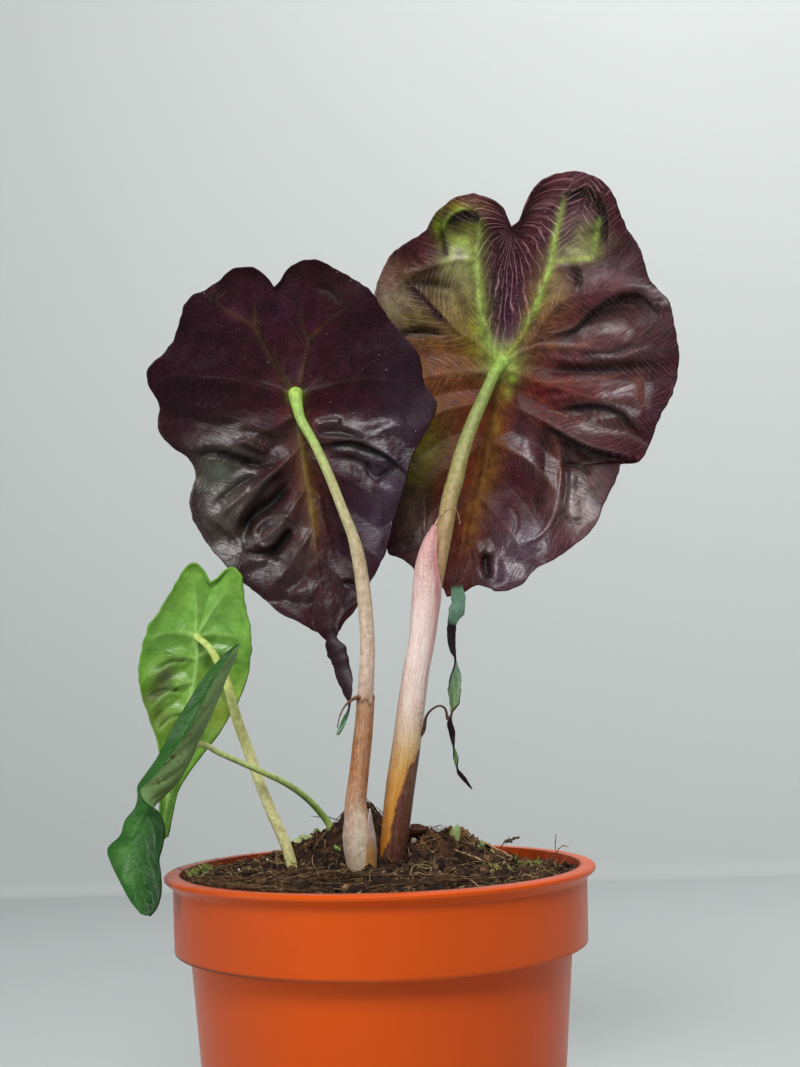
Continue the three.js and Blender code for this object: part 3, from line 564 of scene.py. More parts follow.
def buildPot():
    size = potSet
    names = ("height", "lipRadius", "collarRadius", "collarBottomRadius", "collarBottom", "bodyTopRadius",
             "baseRadius", "baseRound", "wall", "floor")
    height, lip, collar, collarLow, edge, body, base, foot, wall, floor = (size[name] for name in names)
    lipLow = height - size["lipDepth"]
    innerFoot = base + (body - base) * 0.03 - wall
    profile = [
        (0, 0), (base - foot, 0), (base - foot * 0.3, foot * 0.3), (base + 0.1, foot),
        (body - 0.1, edge - 0.6), (body + 0.4, edge), (collarLow, edge),
        (collar, lipLow - 1.1), (collar + 0.45, lipLow - 0.5), (lip - 0.45, lipLow + 0.1),
        (lip, lipLow + 0.6), (lip, height - 0.35), (lip - 0.4, height), (collar - wall, height),
        (collarLow - wall, edge + wall), (body - wall, edge - 0.6),
        (innerFoot, floor + 1), (innerFoot - 1, floor), (0, floor),
    ]
    edges = [(i, i + 1) for i in range(len(profile) - 1)]
    pot = newPiece("potShell", [(r, 0, z) for r, z in profile], edges, [])
    with editing(pot):
        bpy.ops.mesh.spin(steps=size["segments"], angle=fullTurn, center=(0, 0, 0), axis=(0, 0, 1))
    mend(pot, merge=0.01, outward=True)
    for hole in range(size["drainHoles"]):
        angle = (hole + 0.5) / size["drainHoles"] * fullTurn
        reach = size["drainCircle"] * mm
        place = (math.cos(angle) * reach, math.sin(angle) * reach, 0)
        radius = size["drainRadius"] * mm
        bpy.ops.object.select_all(action="DESELECT")
        bpy.ops.mesh.primitive_cylinder_add(vertices=40, radius=radius, depth=8 * mm, location=place)
        drill = bpy.context.object
        modify(pot, "BOOLEAN", object=drill, operation="DIFFERENCE")
        bpy.data.objects.remove(drill)
    modify(pot, "BEVEL", width=size["edgeRound"] * mm, segments=3,
           limit_method="ANGLE", angle_limit=math.radians(32))
    finishPiece(pot, [potMaterial()], ["pot"])
    onlySelect(pot)
    bpy.ops.object.shade_smooth_by_angle(angle=math.radians(40))


# The peat and what lies in it

peatSet = {
    "level": 78.6, "lump": 0.55, "topRadius": 41.5, "rows": 236,
    "heaps": [(-2.8, 11, 10, 5, 6), (-12.8, 12, 6, 8, 7.5), (13.2, 13, 7.2, 8, 8), (-34, 2, 1.0, 6, 7)],
    "hollow": (34, 20, 1.2, 9), "edgeDrop": 1.1, "edgeFrom": 35.5, "edgeTo": 41,
    "clods": [(0.34, 2.3), (0.85, 1.0)],
    "grain": 0.5,
    "skirt": [(41.5, 67.0), (38.0, 66.0), (38.1, 64.3), (31.8, 2.9), (30.6, 1.8)],
    "tones": [
        (0.0, "130b07"), (0.3, "281910"), (0.5, "422c1c"), (0.7, "61442c"), (0.88, "846244"),
        (1.0, "a38463"),
    ],
    "rustSpot": (13.2, 12, 84), "rustReach": (4, 11), "rustTone": "6e4026", "flakeTone": "8a6b48",
}


def heapHeight(x, y):
    height = peatSet["level"] + peatSet["lump"] * np.sin(x * 0.9 + 1) * np.cos(y * 0.8 - x * 0.3)
    for heapX, heapY, rise, spreadX, spreadY in peatSet["heaps"]:
        away = (x - heapX) ** 2 / (2 * spreadX ** 2) + (y - heapY) ** 2 / (2 * spreadY ** 2)
        height = height + rise * np.exp(-away)
    holeX, holeY, depth, spread = peatSet["hollow"]
    height = height - depth * np.exp(-((x - holeX) ** 2 + (y - holeY) ** 2) / (2 * spread ** 2))
    # the peat has sunk a little along the back of the rim
    back = smoothStep(np.hypot(x, y), peatSet["edgeFrom"], peatSet["edgeTo"]) * smoothStep(y, -6, 12)
    return height - peatSet["edgeDrop"] * back


# Clods and crumbs as rounded cells of two sizes, with a little noise
def peatGrain(x, y):
    height = 0.0
    for scale, rise in peatSet["clods"]:
        near = noise.voronoi(Vector((x * scale, y * scale, 3.7)))[0][0]
        height += rise * (0.45 - near)
    return height + peatSet["grain"] * noise.fractal(Vector((x * 1.7, y * 1.7, 1.3)), 0.8, 2.1, 4)


# A place on the peat, raised by a little
def onPeat(x, y, lift=0.0):
    return np.array((x, y, float(heapHeight(x, y)) + peatGrain(x, y) + lift))


def peatMaterial(name, tones, scale=420.0, rough=0.92):
    paint = Paint(name)
    cloud = paint.span(paint.noise(scale, 6.0, 0.68), 0.32, 0.68)
    mixed = paint.plus(paint.times(cloud, 0.72), paint.kept("shade"), clamp=True)
    colour = paint.ramp(mixed, tones)
    # the mound right of the sheath is redder
    heart = [n * mm for n in peatSet["rustSpot"]]
    away = paint.node("ShaderNodeVectorMath", {"operation": "DISTANCE"}, (paint.spot(), heart))
    near, far = (n * mm for n in peatSet["rustReach"])
    rust = paint.span(away.outputs["Value"], near, far, 0.6, 0.0)
    colour = paint.lay(colour, peatSet["rustTone"], rust, paint.span(mixed, 0.1, 0.6))
    flakes = paint.noise(1500.0, 2.0, at=paint.spot((1, 0.35, 1)))
    colour = paint.lay(colour, peatSet["flakeTone"], paint.span(flakes, 0.66, 0.74), 0.4)
    paint.set(Base_Color=colour, Roughness=rough, Specular_IOR_Level=0.25)
    paint.bump(paint.noise(scale * 4, 5.0, 0.7), 0.8, 0.35)
    return paint.material


def buildPeat(material):
    rows, radius = peatSet["rows"], peatSet["topRadius"]
    peat, across, along = newGrid("peat", rows, rows)
    u = across * 2 - 1
    v = along * 2 - 1
    # the square grid is drawn in to a disc, ring by ring
    length = np.hypot(u, v)
    scale = np.where(length > 1e-9, np.maximum(np.abs(u), np.abs(v)) / np.maximum(length, 1e-9), 0)
    x = u * scale * radius
    y = v * scale * radius
    grain = np.array([peatGrain(px, py) for px, py in zip(x, y)])
    rim = smoothStep(np.hypot(x, y), radius - 0.3, radius - 1.6)
    setPlaces(peat, np.stack([x, y, heapHeight(x, y) + grain * rim], axis=1))
    # painted shade: low spots of the peat are painted darker and raised clods lighter
    keepValues(peat, shade=np.clip(grain * 0.16, -0.3, 0.25))
    # the side of the plug follows the inside of the pot down to its floor
    with editing(peat, "DESELECT"):
        bpy.ops.mesh.select_mode(type="EDGE")
        bpy.ops.mesh.select_non_manifold()
        for nextRadius, level in peatSet["skirt"]:
            bpy.ops.mesh.extrude_region_move()
            growth = nextRadius / radius
            bpy.ops.transform.resize(value=(growth, growth, 1), center_override=(0, 0, 0))
            radius = nextRadius
            bpy.ops.object.mode_set(mode="OBJECT")
            for vertex in peat.data.vertices:
                if vertex.select:
                    vertex.co.z = level * mm
            bpy.ops.object.mode_set(mode="EDIT")
        bpy.ops.mesh.edge_face_add()
    mend(peat, outward=True)
    finishPiece(peat, [material], ["soil"])


# Random spot on the peat, more often near the rim when outward is below 0.5
def peatSpot(draw, outward=0.5):
    radius = draw.random() ** outward * (peatSet["topRadius"] - 1.2)
    angle = draw.random() * 2 * math.pi
    return radius * math.cos(angle), radius * math.sin(angle)


def unevenSizes(draw, size):
    return [size * (0.7 + 0.6 * draw.random()) for _ in range(3)]


# A ball with pushed-in points, turned any way
def lumpBody(draw, shape, place, sizes, rough=0.22):
    points, faces = shape
    turn = np.array(Euler([draw.random() * 6.28 for _ in range(3)]).to_matrix())
    swell = np.array([1 + rough * (draw.random() * 2 - 1) for _ in points])
    return (points * swell[:, None] * np.asarray(sizes)) @ turn.T + place, faces


crumbSet = {
    "count": 2300, "bigCount": 110, "small": (0.2, 0.68), "big": (0.7, 1.5), "rough": 0.42, "keepOff": 3.2,
    "seed": 11,
}
clodSet = {
    "spots": [
        (-15, -33), (-9, -28), (-5, -35), (0, -25), (3, -37), (8, -30), (12, -20), (17, -32), (-22, -24),
        (24, -18), (-1, -17), (19, -9), (-26, -30), (10, -36),
    ],
    "size": (1.1, 2.2), "rough": 0.34,
}


def buildCrumbs(material):
    draw = random.Random(crumbSet["seed"])
    small, big, clod = (ballShape(fineness) for fineness in (1, 2, 3))
    bodies = []
    for number in range(crumbSet["count"] + crumbSet["bigCount"]):
        isBig = number >= crumbSet["count"]
        low, high = crumbSet["big" if isBig else "small"]
        x, y = peatSpot(draw)
        if math.hypot(x - shootSet["x"], y - shootSet["y"] + 1.5) < crumbSet["keepOff"]:
            continue
        size = low + (high - low) * draw.random() ** 2.2
        sizes = unevenSizes(draw, size)
        place = onPeat(x, y, size * (0.1 + 0.35 * draw.random()))
        body = lumpBody(draw, big if isBig else small, place, sizes, crumbSet["rough"])
        bodies.append((*body, draw.uniform(-0.36, 0.42)))
    for x, y in clodSet["spots"]:
        size = draw.uniform(*clodSet["size"])
        sizes = unevenSizes(draw, size)
        place = onPeat(x, y, size * 0.1)
        points, faces = lumpBody(draw, clod, place, sizes, 0.05)
        swell = noiseOver(*(points * 1.1).T, (0.8, 2.1, 4))
        points = place + (points - place) * (1 + clodSet["rough"] * swell[:, None])
        bodies.append((points, faces, draw.uniform(-0.4, 0.1)))
    joinBodies("peatCrumbs", bodies, material)


fibreSet = {
    "count": 1050, "length": (2.5, 11), "radius": (0.045, 0.14), "seed": 23, "joints": 9,
    "tones": [(0.0, "20140c"), (0.4, "4a301c"), (0.65, "6e5034"), (0.85, "917450"), (1.0, "b99d72")],
}


# A fibre that wanders over the peat, with its ends a little up or down
def fibreTrack(draw, x, y, length, joints, lift):
    heading = draw.random() * 2 * math.pi
    curl = draw.uniform(-0.35, 0.35)
    step = length / joints
    endLift = draw.uniform(-0.3, lift)
    track = []
    for joint in range(joints + 1):
        share = joint / joints
        inside = min(1.0, (peatSet["topRadius"] - 0.8) / max(math.hypot(x, y), 1e-6))
        x *= inside
        y *= inside
        level = onPeat(x, y)[2] if joint in (0, joints) else float(heapHeight(x, y)) + 0.35
        track.append((x, y, level + 0.12 + endLift * share ** 2 + 0.25 * math.sin(share * math.pi)))
        x += math.cos(heading) * step
        y += math.sin(heading) * step
        heading += curl + draw.uniform(-0.25, 0.25)
    return track


def buildFibres(material):
    draw = random.Random(fibreSet["seed"])
    bodies = []
    for number in range(fibreSet["count"]):
        x, y = peatSpot(draw, 0.42)
        length = draw.uniform(*fibreSet["length"]) * (0.5 if number % 3 else 1)
        lift = 3.0 if number % 14 == 0 else 0.8
        track = fibreTrack(draw, x, y, length, fibreSet["joints"], lift)
        radius = draw.uniform(*fibreSet["radius"])
        radii = tapered(radius, len(track), [0, 0.15, 0.7, 1], [0.4, 1, 0.8, 0.15])
        bodies.append((*strandBody(track, radii), draw.uniform(-0.1, 0.75)))
    joinBodies("peatFibres", bodies, material)


# Single strands that stand out: (track, radius, shade)
rootSet = [
    ([(-8, 9, 88.2), (-10, 9.4, 89.3), (-12.5, 9.8, 89.6), (-15.2, 10, 89.9)], 0.11, 0.02),
    ([(40.2, 20, 76.5), (40.1, 20, 79.5), (40.3, 20.1, 82.6), (40.5, 20, 83.6)], 0.13, 0.45),
    ([(37.8, 12, 78.4), (39.2, 10.5, 80.8), (40.6, 9.5, 81.9), (41.3, 8.8, 81.4)], 0.13, 0.5),
    ([(-38, -7, 78.6), (-40, -7.5, 80.3), (-41.5, -8, 81.7)], 0.12, 0.1),
    ([(-36.6, -4, 78.8), (-37.5, -5, 80.9), (-38.1, -5.5, 82.4)], 0.1, 0.15),
    ([(-14, -16, 79.2), (-3, -21, 80.4), (9, -20, 80.1), (18, -15, 79.3)], 0.22, 0.1),
    ([(-31, -18, 79.2), (-20, -24, 80.2), (-8, -27, 79.9), (1, -25, 79.2)], 0.2, 0.12),
    ([(16, 2, 82.6), (20, -1, 81.1), (24, -6, 79.9), (26, -11, 79.2)], 0.2, 0.5),
    ([(22.5, 11, 83.5), (25, 9, 82), (27.5, 8.5, 80.9), (29, 6, 79.8)], 0.2, 0.8),
]

# Matted hairs that drape over the front of the peat: (track, count)
bunchSet = {
    "tracks": [
        ([(-42, -6, 79.9), (-37, -18, 80.1), (-28, -29, 80.3), (-17, -35, 80.2), (-8, -37, 79.9)], 46),
        ([(-40, -10, 79.6), (-32, -19, 80.3), (-24, -22, 80.8), (-17, -18, 81.2), (-12, -13, 81.4)], 30),
        ([(-20, -30, 80.0), (-13, -24, 80.7), (-5, -20, 81.0), (4, -19, 80.6)], 26),
        ([(-8, -36, 79.8), (6, -31, 80.3), (18, -28, 80.1), (30, -23, 79.5)], 26),
    ],
    "spread": (2.2, 2.2, 0.55), "sway": (2.2, 2.2, 0.5), "radius": (0.05, 0.1), "seed": 57,
}


def buildRoots(material):
    bodies = []
    for stations, radius, shade in rootSet:
        track = smoothLine(stations, np.linspace(0, 1, 22)) + swayAlong(22, 0.35, radius * 90) * 0.5
        radii = tapered(radius, 22, [0, 0.2, 0.8, 1], [0.7, 1, 0.85, 0.3])
        bodies.append((*strandBody(track, radii, 8), shade))
    joinBodies("oldRoots", bodies, material)


def buildBunches(material):
    draw = random.Random(bunchSet["seed"])
    bodies = []
    for stations, count in bunchSet["tracks"]:
        for _ in range(count):
            start = draw.uniform(0, 0.45)
            end = draw.uniform(start + 0.25, 1)
            aside = np.array([draw.gauss(0, spread * 0.5) for spread in bunchSet["spread"]])
            track = smoothLine(stations, np.linspace(start, end, 16)) + aside
            track = track + swayAlong(16, 0.42, draw.random() * 90) * bunchSet["sway"]
            outside = np.hypot(track[:, 0], track[:, 1]) / (peatSet["topRadius"] - 0.4)
            track[:, :2] /= np.maximum(1, outside)[:, None]
            radii = tapered(draw.uniform(*bunchSet["radius"]), 16, [0, 0.2, 0.8, 1], [0.3, 1, 0.85, 0.2])
            bodies.append((*strandBody(track, radii), draw.uniform(-0.15, 0.4)))
    joinBodies("mattedHairs", bodies, material)


# Moss tufts near the left rim and a thin film of it elsewhere: (x, y, spread, count)
mossSet = {
    "patches": [(-38.6, -1, 2.4, 300), (-38, 5, 1.8, 150), (24, -6, 3.5, 60), (33, 2, 4.5, 90)], "seed": 31,
    "height": (0.5, 1.5), "tones": [(0.0, "323f14"), (0.5, "61722a"), (1.0, "9ea252")],
}


def buildMoss():
    draw = random.Random(mossSet["seed"])
    bodies = []
    for patchX, patchY, spread, count in mossSet["patches"]:
        for _ in range(count):
            x = patchX + draw.gauss(0, spread * 0.5)
            y = patchY + draw.gauss(0, spread * 0.5)
            if math.hypot(x, y) > peatSet["topRadius"] - 1:
                continue
            tall = draw.uniform(*mossSet["height"])
            leanX, leanY = draw.uniform(-0.8, 0.8), draw.uniform(-0.8, 0.8)
            foot = onPeat(x, y)
            track = [foot, foot + (leanX * 0.3, leanY * 0.3, tall * 0.5), foot + (leanX, leanY, tall)]
            bodies.append((*strandBody(track, [0.14, 0.2, 0.02]), draw.random()))
    paint = Paint("mossGreen")
    paint.set(Base_Color=paint.ramp(paint.kept("shade"), mossSet["tones"]), Roughness=0.8)
    joinBodies("mossTufts", bodies, paint.material)


# Green and pale scraps: (place, sizes, turn in degrees, shade), with shade 0 deep green to 1 cream
scrapSet = [
    ((-16.5, 12, 86.0), (1.9, 1.1, 0.9), (20, 10, 30), 0.72),
    ((-13.9, 12, 87.2), (1.3, 0.9, 0.8), (0, 30, 60), 0.6),
    ((-18.2, 10.8, 84.9), (1.3, 1.0, 0.7), (30, 0, 10), 0.78),
    ((-15.2, 9.9, 86.1), (1.0, 0.7, 0.6), (0, 0, 80), 0.62),
    ((23.0, 12, 84.1), (1.5, 1.0, 1.5), (0, 35, 20), 0.5),
    ((22.2, 10.2, 82.4), (0.9, 0.5, 1.2), (10, -20, 0), 0.4),
    ((24.6, 10.9, 82.2), (1.1, 0.5, 0.4), (0, 30, 0), 0.66),
    ((28.2, 13.4, 81.6), (1.5, 0.9, 0.9), (0, 15, 30), 0.46),
    ((28.9, -10.5, 79.5), (1.9, 0.9, 0.5), (10, -12, 15), 0.6),
    ((30.5, 5.5, 79.8), (0.8, 0.6, 0.6), (0, 0, 40), 0.45),
    ((33.2, 2.2, 79.6), (1.0, 0.6, 0.5), (0, 20, 70), 0.5),
    ((-9.1, 2.6, 83.4), (1.2, 0.7, 0.6), (0, 30, 20), 0.55),
    ((8.2, -2.2, 80.8), (0.9, 0.7, 0.6), (0, 0, 0), 0.42),
    ((-27.5, -5, 79.8), (0.8, 0.6, 0.5), (0, 40, 0), 0.55),
    ((-12.4, -18.0, 79.9), (0.7, 0.5, 0.4), (0, 0, 50), 0.8),
    ((12.6, 15.3, 87.4), (1.2, 0.6, 0.5), (0, 25, 10), 0.3),
]
scrapLook = {
    "tones": [(0.0, "2c4018"), (0.35, "587832"), (0.6, "8fa05c"), (0.8, "b9bd88"), (1.0, "d8d2b4")],
    "seed": 5,
}


def buildScraps():
    draw = random.Random(scrapLook["seed"])
    points, faces = ballShape(4)
    bodies = []
    for place, sizes, turn, shade in scrapSet:
        turned = np.array(Euler([math.radians(n) for n in turn]).to_matrix())
        shift = draw.random() * 40
        swell = 1 + 0.22 * noiseOver(points[:, 0] * 1.6 + shift, points[:, 1] * 1.6, points[:, 2] * 1.6)
        bent = points * swell[:, None]
        bent[:, 2] += 0.35 * bent[:, 0] ** 2
        x, y, top = place
        place = (x, y, min(top, onPeat(x, y)[2] + 0.5 * min(sizes)))
        bodies.append(((bent * sizes) * 0.82 @ turned.T + np.array(place), faces, shade))
    paint = Paint("greenScraps")
    cloud = paint.times(paint.span(paint.noise(900.0), 0.3, 0.7, -0.5, 0.5), 0.35)
    green = paint.ramp(paint.plus(paint.kept("shade"), cloud, clamp=True), scrapLook["tones"])
    paint.set(Base_Color=green, Roughness=0.5)
    paint.bump(paint.noise(1800.0), 0.5, 0.15)
    joinBodies("greenScraps", bodies, paint.material)


# White mineral grains: (x, y, size)
grainSet = {
    "spots": [(24.0, -12.6, 0.8), (21.2, 12.5, 0.5), (7.3, 7.6, 0.9), (5.9, 8.2, 0.6), (26.5, 3.1, 0.45),
              (-19.5, -20, 0.6), (2.5, -14, 0.4), (16.4, -14.5, 0.4), (-24, -12, 0.5), (31, -3, 0.5)],
    "count": 60, "size": (0.12, 0.32), "seed": 41,
    "tones": [(0.0, "a99a80"), (0.5, "cfc8ba"), (1.0, "eceae4")],
}


def buildGrains():
    draw = random.Random(grainSet["seed"])
    shape = ballShape(2)
    spots = list(grainSet["spots"])
    for _ in range(grainSet["count"]):
        spots.append((*peatSpot(draw), draw.uniform(*grainSet["size"])))
    bodies = []
    for x, y, size in spots:
        body = lumpBody(draw, shape, onPeat(x, y, size * 0.45), (size, size * 0.8, size * 0.9))
        bodies.append((*body, draw.random()))
    paint = Paint("whiteGrains")
    paint.set(Base_Color=paint.ramp(paint.kept("shade"), grainSet["tones"]), Roughness=0.7)
    paint.bump(paint.noise(3000.0), 0.6, 0.1)
    joinBodies("whiteGrains", bodies, paint.material)


# The dark seed head that lies on a stalk at the right
seedSet = {"start": (26.6, 15.6, 80.6), "neck": (28.3, 16, 82.6), "end": (31.6, 16, 83.4), "seeds": 34,
    "seed": 3}


def buildSeedHead(material):
    draw = random.Random(seedSet["seed"])
    shape = ballShape(2)
    start, neck, end = (np.array(seedSet[key], float) for key in ("start", "neck", "end"))
    stalk = smoothLine([start, (start + neck) / 2 + (0.3, 0, 0.4), neck, end], np.linspace(0, 1, 14))
    bodies = [(*strandBody(stalk, np.full(14, 0.12), 6), 0.1)]
    for number in range(seedSet["seeds"]):
        share = number / seedSet["seeds"]
        swell = math.sin(math.pi * min(1, share * 0.9 + 0.12))
        offset = np.array([draw.uniform(-0.1, 0.1), draw.gauss(0, 0.34), draw.gauss(0, 0.34)]) * swell
        body = lumpBody(draw, shape, neck + (end - neck) * share + offset, (0.34, 0.16, 0.16))
        bodies.append((*body, draw.uniform(-0.1, 0.25)))
    joinBodies("seedHead", bodies, material)


# Flat leaves, each drawn in its own plane: x to the right, y from the hub towards the drip tip, as the
# source has it. Folds are (line, height, reach), pillows (x, y, spread x, spread y, turn, height),
# wrinkles (line, width, height), dabs (x, y, spread x, spread y, turn, colour, share), strokes
# (line, colour, width, share), vein paint (vein numbers, colour, width, share, reach), rib paint
# (colour, width, share, from, to) and gloss (x, y, spread x, spread y, turn, share). Heights are
# towards the viewer.

